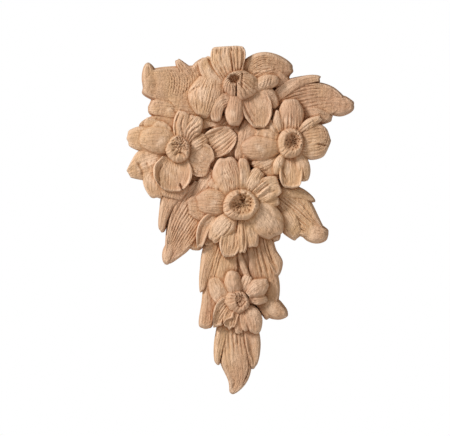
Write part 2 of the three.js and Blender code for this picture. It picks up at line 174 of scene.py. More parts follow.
@dataclass(frozen=True)
class Body:
    """Closed mesh on the sheet: x, y back and z up, before it is brought to size.

    Strokes holds each point's place across and along the strokes of the gouge.
    """

    points: Array
    faces: list[tuple[int, ...]]
    strokes: Array

    def to_object(self, name: str, scale: tuple[float, float, float]) -> bpy.types.Object:
        """Make an object of the body.

        Args:
            name: the object's name.
            scale: metres per unit along x, y and z.

        Returns:
            The new object, not yet in any collection.
        """
        mesh = bpy.data.meshes.new(name)
        mesh.from_pydata((self.points * np.array(scale)).tolist(), [], self.faces)
        corners = np.empty(len(mesh.loops), dtype=np.int32)
        mesh.loops.foreach_get("vertex_index", corners)
        layer = mesh.uv_layers.new(name=STROKES)
        layer.data.foreach_set("uv", self.strokes[corners].ravel())
        return bpy.data.objects.new(name, mesh)


def sheet_body(place: Array, height: Array, spread: Array, strokes: Array) -> Body:
    """Closed body of a carved grid: its top, its side walls and a flat foot behind the back.

    Args:
        place: rows by columns by 2, x and z of each grid point.
        height: rows by columns, the carving's height over the back.
        spread: rows by columns by 2, how far the foot stands out from the top's edge.
        strokes: rows by columns by 2, place across and along the strokes.

    Returns:
        The body, closed, with its faces outward.
    """
    rows, columns = height.shape
    index = np.arange(rows * columns).reshape(rows, columns)
    top = np.stack([place[..., 0], -height, place[..., 1]], -1).reshape(-1, 3)
    rim = np.concatenate([index[0, :], index[1:, -1], index[-1, -2::-1], index[-2:0:-1, 0]])
    foot = top[rim].copy()
    foot[:, 0] += spread.reshape(-1, 2)[rim, 0]
    foot[:, 2] += spread.reshape(-1, 2)[rim, 1]
    foot[:, 1] = BACK_OVERRUN
    a, b = index[:-1, :-1], index[:-1, 1:]
    c, d = index[1:, 1:], index[1:, :-1]
    faces = list(map(tuple, np.stack([a, d, c, b], -1).reshape(-1, 4).tolist()))
    under = rows * columns + np.arange(len(rim))
    ahead, under_ahead = np.roll(rim, -1), np.roll(under, -1)
    faces += list(map(tuple, np.stack([rim, ahead, under_ahead, under], -1).tolist()))
    faces.append(tuple(under.tolist()))
    marks = strokes.reshape(-1, 2)
    return Body(np.vstack([top, foot]), faces, np.vstack([marks, marks[rim]]))


@dataclass(frozen=True)
class Flutes:
    """A run of gouge cuts side by side along a lobe.

    Start and stop are shares of the lobe's length, low and high shares of its half width.
    """

    count: float
    depth: float
    start: float = 0.0
    stop: float = 1.0
    low: float = -1.2
    high: float = 1.2
    wander: float = 0.12
    sharp: float = 1.3


@dataclass(frozen=True)
class Trace:
    """One carved line: a cut, or a ridge where the depth is below zero.

    The way runs through points of the sheet. Left and right are the line's widths on the two
    sides of the way, so a narrow and a wide side make the edge of a fold.
    """

    way: tuple[Point, ...]
    depth: float
    left: float = 1.1
    right: float = 1.1
    taper: float = 0.2

    # Pieces of the way, how sharply the groove's sides meet, and the share of the depth left at the ends.
    STEPS = 24
    PROFILE = 1.3
    END_DEPTH = 0.25

    def at(self, x: Array, z: Array) -> Array:
        """Depth of the line at each place: a pointed groove that runs out at its ends."""
        share = np.linspace(0.0, 1.0, self.STEPS + 1)
        points = np.array([from_sheet(p) for p in self.way])
        px, pz = through(tuple(points[:, 0]), share), through(tuple(points[:, 1]), share)
        ax, az = px[:-1], pz[:-1]
        dx, dz = np.diff(px), np.diff(pz)
        ox, oz = x[..., None] - ax, z[..., None] - az
        t = np.clip((ox * dx + oz * dz) / np.maximum(dx * dx + dz * dz, 1e-9), 0.0, 1.0)
        away = np.hypot(ox - t * dx, oz - t * dz)
        near = away.argmin(-1)[..., None]
        off = np.take_along_axis(away, near, -1)[..., 0]
        side = np.take_along_axis(dx * oz - dz * ox, near, -1)[..., 0]
        along = (np.take_along_axis(t, near, -1)[..., 0] + near[..., 0]) / self.STEPS
        width = np.where(side > 0, self.left, self.right)
        shape = np.clip(1 - off / width, 0.0, 1.0) ** self.PROFILE
        ends = smooth(0.0, self.taper, along) * (1 - smooth(1 - self.taper, 1.0, along))
        return self.depth * shape * (self.END_DEPTH + (1 - self.END_DEPTH) * ends)


@dataclass(frozen=True)
class Lobe:
    """One carved lobe of a leaf or petal.

    The spine runs from root to tip on the sheet. The half widths left and right of that way and the
    rise, the height in per cent, are spread evenly along it. Blunt squares the tip, dish lifts the
    sides over the middle, lean lifts the left side, rim raises a lip, draft spreads the foot, roll
    rounds the top edge, frill waves the outline, and rough and comb scale the fine marks.
    """

    spine: tuple[Point, ...]
    left: Row
    right: Row
    rise: Row
    blunt: float = 3.5
    dish: float = 0.0
    lean: float = 0.0
    rim: float = 0.0
    flutes: Flutes | None = None
    traces: tuple[Trace, ...] = ()
    draft: float = 1.8
    roll: float = 1.8
    frill: float = 0.04
    rough: float = 1.0
    comb: float = 1.0
    seed: int = 0

    # Fewest and most faces across and along.
    COLUMNS = (12, 90)
    ROWS = (14, 110)
    # How squarely the dish is rounded, and the height of the slow swells.
    CROWN = 2.4
    SWELL = 1.2
    # The fine strokes' distance and depth.
    COMB_PITCH = 3.1
    COMB_DEPTH = 1.5
    # The rounded edge's drop for one unit of its radius, and where a raised lip stands in from the rim.
    EDGE_DROP = 3.4
    LIP_PLACE = 1.9
    LIP_WIDTH = 1.5

    def grid(self) -> tuple[Array, Array]:
        """Shares across and along, closer together near the rim, about a cell apart."""
        spine = np.array(self.spine)
        length = np.linalg.norm(np.diff(spine, axis=0), axis=1).sum()
        breadth = max(self.left) + max(self.right)
        columns = int(np.clip(breadth / CELL, *self.COLUMNS))
        rows = int(np.clip(length / CELL, *self.ROWS))
        across = crowded(np.linspace(-1.0, 1.0, columns + 1), 0.3)
        along = crowded(np.linspace(0.0, 1.0, rows + 1), 0.25)
        return np.meshgrid(across, along)

    def relief(self, u: Array, v: Array, half: Array, length: float) -> Array:
        """Height of the carving over the back.

        Args:
            u: shares across, from -1 on the right to 1 on the left.
            v: shares along, from root to tip.
            half: half width at each place.
            length: the lobe's length.

        Returns:
            The height, per cent of the relief depth.
        """
        uneven = Unevenness(self.seed)
        height = through(self.rise, v) + self.dish * (np.abs(u) ** self.CROWN - 0.3) + self.lean * u * v
        height = height + self.SWELL * uneven.at(u * 1.6 + 7.3, v * 2.2 + 1.7)
        height = height - self.comb * self.combing(u, v, length, uneven)
        if self.flutes:
            height = height - self.fluting(u, v, uneven)
        inward = np.minimum((1 - np.abs(u)) * half, (1 - v) * length)
        lip = np.exp(-(((inward - self.LIP_PLACE) / self.LIP_WIDTH) ** 2))
        height = height + self.rim * lip * smooth(0.1, 0.4, v)
        edge_across = np.clip(1 - (1 - np.abs(u)) * half / self.roll, 0, 1)
        edge_along = np.clip(1 - (1 - v) * length / self.roll, 0, 1)
        edge = np.minimum(np.hypot(edge_across, edge_along), 1.0)
        return height - self.EDGE_DROP * self.roll * (1 - np.sqrt(1 - edge**2 * 0.97))

    def combing(self, u: Array, v: Array, length: float, uneven: Unevenness) -> Array:
        """Depth of the fine strokes that the gouge leaves all over, fading in and out.

        Args:
            u: shares across.
            v: shares along.
            length: the lobe's length.
            uneven: the lobe's own unevenness.

        Returns:
            The depth, per cent of the relief depth.
        """
        breadth = max(self.left) + max(self.right)
        place = breadth / self.COMB_PITCH * (u + 0.10 * uneven.at(v * 2.0 + 8.0, u * 1.5 + 2.0))
        groove = (1 - np.abs(np.sin(math.pi * place))) ** 1.6
        fade = 0.75 + 0.65 * uneven.at(np.floor(place) * 5.3 + 1.0, v * length / 11.0)
        return self.COMB_DEPTH * groove * np.clip(fade, 0.1, 1.4)

    def fluting(self, u: Array, v: Array, uneven: Unevenness) -> Array:
        """Depth of the gouge cuts.

        Args:
            u: shares across.
            v: shares along.
            uneven: the lobe's own unevenness.

        Returns:
            The depth, per cent of the relief depth.
        """
        run = self.flutes
        warped = u + run.wander * uneven.at(v * 2.5 + 3.1, u * 1.2 + 5.0)
        place = run.count * (warped + 1) / 2
        ridge = np.abs(np.sin(math.pi * place))
        strength = 0.8 + 0.35 * uneven.at(np.floor(place) * 3.7, v * 1.5)
        reach = smooth(run.start - 0.05, run.start + 0.15, v)
        reach = reach * (1 - smooth(run.stop - 0.2, run.stop + 0.02, v))
        reach = reach * smooth(run.low - 0.15, run.low + 0.15, u)
        reach = reach * (1 - smooth(run.high - 0.15, run.high + 0.15, u))
        return run.depth * strength * reach * (1 - ridge) ** run.sharp

    def body(self) -> Body:
        """Carve the lobe as a closed body."""
        u, v = self.grid()
        uneven = Unevenness(self.seed + 101)
        cut = 1 / (1 + self.blunt)
        along = v * (1 - cut * np.abs(u) ** self.blunt)
        along = along * (1 + self.frill * v**3 * uneven.at(u * 2.2, v * 0.5 + 2.0))
        across = u * (1 - cut * v**self.blunt)
        across = across * (1 + self.frill * uneven.at(v * 3.4 + 11.0, np.sign(u) * 3.0))
        spine = np.array([from_sheet(p) for p in self.spine])
        step = 1e-3
        way = bezier(spine, along + step) - bezier(spine, along - step)
        way /= np.linalg.norm(way, axis=-1, keepdims=True)
        side = np.stack([-way[..., 1], way[..., 0]], -1)
        half = np.where(u > 0, through(self.left, along), through(self.right, along))
        place = bezier(spine, along) + side * (across * half)[..., None]
        length = float(np.linalg.norm(np.diff(spine, axis=0), axis=1).sum())
        height = self.relief(u, v, half, length)
        height = height + hand_marks(place[..., 0], place[..., 1], self.rough)
        for trace in self.traces:
            height = height - trace.at(place[..., 0], place[..., 1])
        spread = self.draft * (side * across[..., None] + way * (v**2)[..., None])
        breadth = max(self.left) + max(self.right)
        strokes = np.stack([u * breadth / 2 + self.seed * 37.7, v * length + self.seed * 11.3], -1)
        return sheet_body(place, height, spread, strokes)


def petal(
    spine: tuple[Point, ...], left: Row, right: Row, rise: Row, dish: float = -4.0, blunt: float = 3.4,
    **more: object,
) -> Lobe:
    """Lobe of a flower, with upright walls.

    Args:
        spine: the way from root to tip, on the sheet.
        left: half widths left of the way.
        right: half widths right of the way.
        rise: heights from root to tip.
        dish: how far the sides stand above the middle.
        blunt: how square the tip is.
        more: other fields of the lobe.

    Returns:
        The lobe.
    """
    return Lobe(spine, left, right, rise, blunt, dish, draft=0.0, **more)


def ladder(
    first: tuple[Point, ...], last: tuple[Point, ...], count: int, depth: float, width: float = 1.1,
) -> tuple[Trace, ...]:
    """Run of cuts side by side, some a little deeper than others.

    Args:
        first: the way of the first cut.
        last: the way of the last cut.
        count: how many cuts there are, two or more.
        depth: their depth.
        width: their width on each side.

    Returns:
        The cuts.
    """
    cuts = []
    for k in range(count):
        f = k / (count - 1)
        way = tuple((p[0] + (q[0] - p[0]) * f, p[1] + (q[1] - p[1]) * f) for p, q in zip(first, last))
        cuts.append(Trace(way, depth * (0.75 + 0.5 * ((k * 7) % 5) / 4), width, width))
    return tuple(cuts)


@dataclass(frozen=True)
class Cup:
    """Domed cup of a flower with a pitted hollow shifted off its centre.

    Wide and high are the half widths across and up, hollow the hollow's radius, top the lip's height,
    deep the hollow's depth and fall how far the dome drops to its foot.
    """

    wide: float
    high: float
    hollow: float
    shift: Point
    top: float
    deep: float
    fall: float
    pits: int = 26
    wave: float = 0.04
    traces: tuple[Trace, ...] = ()
    seed: int = 0

    # Length of a face round the cup and out from its middle, in cells.
    TURN = 0.8
    RING = 0.6
    # How squarely the hollow and the dome are rounded, the height of their swells, and their fine marks.
    BOWL = 2.8
    DOME = 2.6
    SWELL = 3.2
    ROUGH = 1.1
    # Gouge cuts over the lip for one unit of the cup's width, and their depth.
    CUTS = 0.62
    CUT_DEPTH = 3.4
    # Least and greatest size and depth of a punched dot.
    DOT_SIZE = (0.7, 1.15)
    DOT_DEPTH = (3.0, 8.0)

    def body(self, centre: Point) -> Body:
        """Carve the cup as a closed body.

        Args:
            centre: the flower's centre on the sheet.

        Returns:
            The closed body.
        """
        uneven = Unevenness(self.seed)
        radius = (self.wide + self.high) / 2
        turns = int(2 * math.pi * radius / (CELL * self.TURN))
        rings = int(radius / (CELL * self.RING))
        spaced = crowded(np.linspace(0.0, 1.0, rings + 1)[1:], 0.25)
        share, angle = np.meshgrid(spaced, np.arange(turns) * 2 * math.pi / turns, indexing="ij")
        r = share * radius
        hollow = self.hollow * (1 + 0.09 * uneven.at(np.cos(angle) * 1.5 + 5.0, np.sin(angle) * 1.5))
        rim = np.clip((r - hollow) / (radius - hollow), 0, 1)
        bowl = self.top - self.deep * (1 - np.clip(r / hollow, 0, 1) ** self.BOWL)
        lip = self.top - self.fall * (1 - np.sqrt(1 - 0.98 * rim**self.DOME))
        height = np.where(r < hollow, bowl, lip)
        ring_x, ring_z = np.cos(angle) * 1.9, np.sin(angle) * 1.9
        height = height + self.SWELL * uneven.at(ring_x + r * 0.1, ring_z + 4.0) * smooth(0.25, 0.6, share)
        height = height - self.cuts(angle, r, hollow, uneven)
        swell = 1 + self.wave * uneven.at(np.cos(angle) * 1.8 + 9.0, np.sin(angle) * 1.8 + 2.0) * share
        slide = 1 - smooth(0.35, 1.0, share)
        middle = from_sheet(centre)
        x = middle[0] + self.shift[0] * slide + share * self.wide * swell * np.cos(angle)
        z = middle[1] - self.shift[1] * slide + share * self.high * swell * np.sin(angle)
        height = height + hand_marks(x, z, self.ROUGH) - self.pitting(x - middle[0], z - middle[1], r)
        for trace in self.traces:
            height = height - trace.at(x, z)
        strokes = np.stack([np.abs(angle - math.pi) * radius * 0.7, r], -1)
        return self.close(x, z, height, middle, strokes)

    def cuts(self, angle: Array, r: Array, hollow: Array, uneven: Unevenness) -> Array:
        """Depth of the short gouge cuts that run over the lip, away from the hollow.

        Args:
            angle: the way round the cup.
            r: distance from its middle.
            hollow: the hollow's radius at each place.
            uneven: the cup's own unevenness.

        Returns:
            The depth, per cent of the relief depth.
        """
        count = round((self.wide + self.high) * self.CUTS)
        place = count * (angle / (2 * math.pi) + 0.016 * uneven.at(r * 0.3 + 2.0, np.sin(angle) * 2.0))
        groove = (1 - np.abs(np.sin(math.pi * place))) ** 1.5
        turn = np.floor(place) % count
        strength = np.clip(0.7 + 0.9 * uneven.at(turn * 3.7 + 0.5, r * 0.12), 0.1, 1.5)
        return self.CUT_DEPTH * groove * strength * smooth(0.85, 1.25, r / hollow)

    def pitting(self, x: Array, z: Array, r: Array) -> Array:
        """Depth of the punched dots in the hollow."""
        draw = np.random.default_rng(self.seed + 5)
        depth = np.zeros_like(x)
        for k in range(self.pits):
            reach = self.hollow * 0.95 * math.sqrt((k + 0.4) / self.pits)
            turn = k * GOLDEN_ANGLE + draw.uniform(-0.3, 0.3)
            px = self.shift[0] + reach * math.cos(turn)
            pz = -self.shift[1] + reach * math.sin(turn)
            size = draw.uniform(*self.DOT_SIZE)
            dot = np.exp(-(((x - px) ** 2 + (z - pz) ** 2) / size**2))
            depth = np.maximum(depth, draw.uniform(*self.DOT_DEPTH) * dot)
        return depth * (r < self.hollow * 1.2)

    def close(self, x: Array, z: Array, height: Array, middle: Point, strokes: Array) -> Body:
        """Close the rings into a body with a wall and a flat foot.

        Args:
            x: rings by turns, across.
            z: rings by turns, up.
            height: rings by turns, over the back.
            middle: the flower's centre.
            strokes: rings by turns by 2, place across and along the strokes.

        Returns:
            The closed body.
        """
        rings, turns = x.shape
        centre = np.array([[middle[0] + self.shift[0], -float(height[0].mean()), middle[1] - self.shift[1]]])
        top = np.stack([x, -height, z], -1).reshape(-1, 3)
        foot = top[-turns:].copy()
        foot[:, 1] = BACK_OVERRUN
        index = 1 + np.arange(rings * turns).reshape(rings, turns)
        ahead = np.roll(index, -1, axis=1)
        faces = [(0, int(a), int(b)) for a, b in zip(index[0], ahead[0])]
        ring = np.stack([index[:-1], index[1:], ahead[1:], ahead[:-1]], -1)
        faces += list(map(tuple, ring.reshape(-1, 4).tolist()))
        under = 1 + rings * turns + np.arange(turns)
        wall = np.stack([ahead[-1], index[-1], under, np.roll(under, -1)], -1)
        faces += list(map(tuple, wall.tolist()))
        faces.append(tuple(under[::-1].tolist()))
        marks = strokes.reshape(-1, 2)
        return Body(np.vstack([centre, top, foot]), faces, np.vstack([marks[:1], marks, marks[-turns:]]))


@dataclass(frozen=True)
class Flower:
    """An open flower: petals round a cup."""

    name: str
    centre: Point
    cup: Cup
    petals: tuple[Lobe, ...]
    seed: int

    def bodies(self) -> list[Body]:
        """Closed bodies of the petals and the cup."""
        made = [replace(lobe, seed=self.seed + k).body() for k, lobe in enumerate(self.petals)]
        made.append(self.cup.body(self.centre))
        return made


@dataclass(frozen=True)
class Leaf:
    """An acanthus leaf: lobes that run into each other."""

    name: str
    lobes: tuple[Lobe, ...]
    seed: int

    def bodies(self) -> list[Body]:
        """Closed bodies of the leaf's lobes."""
        return [replace(lobe, seed=self.seed + k).body() for k, lobe in enumerate(self.lobes)]


def pocket(x: float, y: float, size: float) -> Trace:
    """Deep round pocket between the flowers."""
    return Trace(((x - 0.5, y - 1.5), (x + 0.5, y + 1.5)), POCKET_DEPTH, size, size, 0.01)


POCKETS = (
    pocket(208.5, 130, 7), pocket(245.5, 126, 7), pocket(275, 107, 5), pocket(213, 152, 5),
    pocket(224, 113, 6), pocket(285.5, 221, 6), pocket(250.5, 168, 2.5), pocket(302, 109, 4),
    pocket(192, 136, 4),
)

GROUND = (
    Lobe(((214, 76), (236, 120), (246, 180)), (30, 46, 44), (44, 66, 56), (34, 34, 34), 6, -4,
        traces=POCKETS, draft=0, seed=3),
    Lobe(((240, 150), (240, 200), (240, 326)), (50, 42, 24, 20), (60, 52, 24, 20), (33, 33, 32), 6, -4,
        traces=POCKETS, draft=0, seed=4),
)

LEAVES = (
    Leaf("ground", GROUND, 3),
    Leaf("top_left_leaf", (
        Lobe(((218, 106), (184, 88), (144, 81.5)), (20, 18, 18.5, 17), (36, 30, 21, 14.5),
            (42, 42, 41, 38), 6, -5, roll=3.6, comb=0.5, traces=(*ladder(
                    ((164, 68), (170, 80), (168, 98)), ((198, 62), (206, 80), (202, 102)), 15, 2.8, 0.9),
                Trace(((152, 70), (156, 84), (153, 98)), 3, 4, 4))),
        Lobe(((162, 96), (150, 82), (148.5, 64.8)), (7, 9.6, 7.6), (10, 8.5, 6), (28, 36, 39), 3, -5,
            roll=3),
        Lobe(((208, 98), (190, 80), (177.5, 60.2)), (10, 11, 7), (9, 9.6, 6.4), (36, 41, 41), 2.2, -2,
            roll=2.4, flutes=Flutes(5, 3.6)),
        Lobe(((224, 94), (206, 77), (196.5, 63)), (12, 12, 10), (12, 12, 10), (36, 40, 39), 5, -2,
            flutes=Flutes(7, 2.6)),
        Lobe(((202, 112), (172, 106), (149.5, 107.5)), (12, 14, 13), (10, 12, 12), (38, 45, 38), 3.6, -6,
            roll=4.5, comb=0.6, traces=(Trace(((160, 98), (170, 102), (178, 111)), 6, 1, 3.4),
                Trace(((158, 116), (165, 118), (172, 121)), 5, 1, 2),
                Trace(((166, 106), (173, 109), (178, 116)), 4, 1, 2))),
        Lobe(((190, 128), (160, 121), (141, 125)), (8, 8, 5), (14, 10, 5), (44, 38, 33), 3, -2),
    ), 100),
    Leaf("top_right_leaf", (
        Lobe(((238, 92), (252, 57), (290, 70.5)), (12, 12.8, 13.8, 9), (14, 20, 20, 11), (41, 47, 49, 38),
            6, -5, lean=5, roll=3, comb=0.6, traces=(*ladder(((247, 66), (262, 57), (283, 62)),
                    ((254, 84), (266, 76), (284, 76)), 11, 2.6, 0.9),
                Trace(((262, 50), (270, 49), (277, 53)), -4, 3, 3))),
        Lobe(((262, 74), (284, 76), (286, 92)), (8, 8, 6), (8, 10, 8), (46, 42, 32), 6, -3, roll=2.5),
    ), 120),
    Leaf("long_right_leaf", (
        Lobe(((274, 100), (294, 81), (319, 79)), (6, 7.5, 5, 4), (5, 5, 4, 4), (38, 41, 40, 39), 6, 0,
            roll=1.4),
        Lobe(((268, 112), (310, 96), (345, 103)), (10, 16, 18.6, 17.4, 7), (14, 20, 22, 18.5, 9),
            (38, 38, 37, 36, 37), 4.5, 2, roll=2.5, flutes=Flutes(11, 3.9, 0, 0.8, -0.85, 0.95)),
        Lobe(((304, 112), (318, 113), (331, 117.5)), (6, 6, 4.5), (8, 10.5, 7.5), (34, 42, 39), 3.5, -5,
            roll=3.2),
        Lobe(((327, 104), (342, 107.2), (352.8, 105.5)), (6.5, 9.8, 7.8), (8, 9.5, 6.5), (34, 39, 38),
            3.5, -3, roll=3, traces=(Trace(((330, 103), (332, 109), (332, 116)), 9, 1, 2.5),)),
    ), 130),
    Leaf("lower_left_leaf", (
        Lobe(((184, 188), (166, 199), (161.8, 230.5)), (9, 8, 5.2, 4), (13, 11, 5.8, 4), (40, 41, 41, 39),
            4.5, -4, roll=2.2),
        Lobe(((208, 190), (182, 226), (168, 262.5)), (16, 20, 18, 16, 7), (16, 20, 18, 12, 6),
            (43, 40, 38, 37, 39), 3.2, 0, roll=2.4, flutes=Flutes(12, 3.9, 0, 0.8, -0.8, 1.2),
            traces=(Trace(((167, 236), (165, 247), (164.5, 258)), -3, 2, 2),)),
        Lobe(((174, 242), (166, 252), (167, 262.6)), (5, 7, 6.4), (4, 4.5, 5), (34, 39, 40), 3, -4,
            roll=3.4),
        Lobe(((208, 206), (199, 228), (193, 248.5)), (12, 12, 11), (10, 9, 8), (40, 36, 33), 4, 0,
            flutes=Flutes(7, 5.7)),
    ), 140),
    Leaf("lower_right_leaf", (
        Lobe(((268, 190), (296, 212), (322, 234)), (14, 18, 18.5, 11.4, 5.5), (18, 17, 17, 16.5, 10),
            (38, 38, 37, 37, 39), 5, 1, roll=2.5, flutes=Flutes(10, 5.6, 0.05, 0.85, -1.1, 0.7)),
        Lobe(((280, 188), (300, 191), (313.5, 200.6)), (8, 5.2, 4.2, 3), (10, 8, 6, 5), (39, 42, 39), 3,
            -3, roll=2.5, traces=(Trace(((302, 201.5), (307, 204), (314, 205)), 9, 1, 1.6),)),
        Lobe(((278, 206), (288, 221), (297, 237)), (11, 12, 11), (9, 10, 8), (30, 41, 37), 4, -5,
            roll=3.5, traces=(Trace(((299, 222), (301.5, 230), (304.5, 238)), 10, 2.5, 1),)),
        Lobe(((266, 220), (273, 230), (275.5, 240)), (8, 7, 5.5), (8, 7, 5.5), (36, 39, 35), 4, -3,
            roll=2.5),
        Lobe(((308, 228), (316, 234), (326.6, 233.4)), (8, 8, 7.5), (9, 10.5, 9.4), (35, 42, 40), 3.5, -5,
            roll=3.5),
    ), 150),
    Leaf("middle_left_leaf", (
        Lobe(((222, 226), (206, 259), (202.5, 290)), (8, 8, 6, 5), (9, 8, 5.5, 4.5), (38, 40, 39, 38), 4,
            -4, roll=2.2),
        Lobe(((213, 262), (208, 295), (205.5, 327)), (9, 8, 9), (9, 5.5, 5.2, 9.5), (34, 36, 35, 40), 5,
            -3, roll=3, comb=0.7, frill=0.01),
        Lobe(((229, 232), (223, 275), (222, 328)), (14, 13, 12, 12), (12, 13, 13, 12), (42, 43, 38, 35),
            4, -2, comb=0.7, traces=(*ladder(((213, 240), (208, 262), (203, 286)),
                    ((226, 244), (219, 262), (213, 284)), 5, 3.6, 1.2),
                Trace(((236.5, 248), (238, 262), (241, 284)), 12, 1.6, 2),
                Trace(((211, 280), (209.5, 300), (209, 318)), 6, 1.2, 1.2))),
    ), 160),
    Leaf("middle_right_leaf", (
        Lobe(((262, 226), (270, 250), (276, 276)), (13, 6.5, 5.5, 11.5, 7.5), (8, 8, 7, 6, 5),
            (37, 39, 41, 39), 3.2, -3, roll=2.4, traces=(
                Trace(((263, 246), (268, 260), (276, 274)), -6, 1.6, 2.4),
                Trace(((267, 246), (271, 258), (277, 268)), 5, 1.2, 2))),
        Lobe(((250, 234), (262, 270), (270, 315)), (14, 13, 15.5, 15.5, 9), (8, 8, 13, 19, 13),
            (44, 45, 41, 35, 35), 4, 0, roll=2.4, flutes=Flutes(7, 6.5, 0, 0.66, -0.25, 0.95)),
        Lobe(((266, 298), (274, 312), (285.8, 312.5)), (7, 8.5, 7), (9, 10, 8), (33, 39.5, 39), 3.5, -8,
            roll=3.6),
    ), 170),
    Leaf("bottom_leaf", (
        Lobe(((228, 316), (219.5, 336), (217.5, 364)), (6, 6, 5, 4), (7, 5.5, 5.2, 4.4), (34, 38, 39, 36),
            3.5, -5, roll=2.6),
        Lobe(((246, 312), (252, 338), (253.5, 366.5)), (7.5, 7.5, 8.2, 5), (7, 7, 7, 6), (35, 38, 37, 35),
            3.5, 2, roll=2, traces=(Trace(((246, 334), (248, 349), (253, 362)), -5, 1.2, 1.8),)),
        Lobe(((236, 312), (231, 352), (248, 370), (232, 392.2)), (11, 12.5, 13, 12, 7),
            (13, 16, 18.3, 15, 8), (38, 38, 39, 40, 41), 3.0, -4, roll=2.4, comb=0.7, frill=0.0,
            flutes=Flutes(7, 5.0, 0.0, 0.5), traces=(
                Trace(((222.6, 333), (222.8, 346), (220.4, 362)), 12, 1.1, 1.3),
                Trace(((245, 336), (247, 350), (252, 366)), 9, 1.0, 1.0),
                Trace(((247.6, 356), (248.6, 369), (243, 384)), 7, 0.9, 1.2),
                Trace(((231, 374), (235, 381), (232, 388)), 3, 3, 2))),
    ), 180),
    Leaf("stem", (
        Lobe(((237.8, 247), (241, 264), (249.5, 280)), (2.4, 3.6, 4.4), (2.2, 3.4, 4.6), (45, 47, 48),
            3.5, -6, roll=2.4, draft=0),
        Lobe(((236, 249), (233.5, 262), (232, 276)), (1.6, 3.2, 3), (1.6, 3, 3), (45, 43, 40), 3.5, -4,
            roll=2, draft=0),
    ), 190),
)

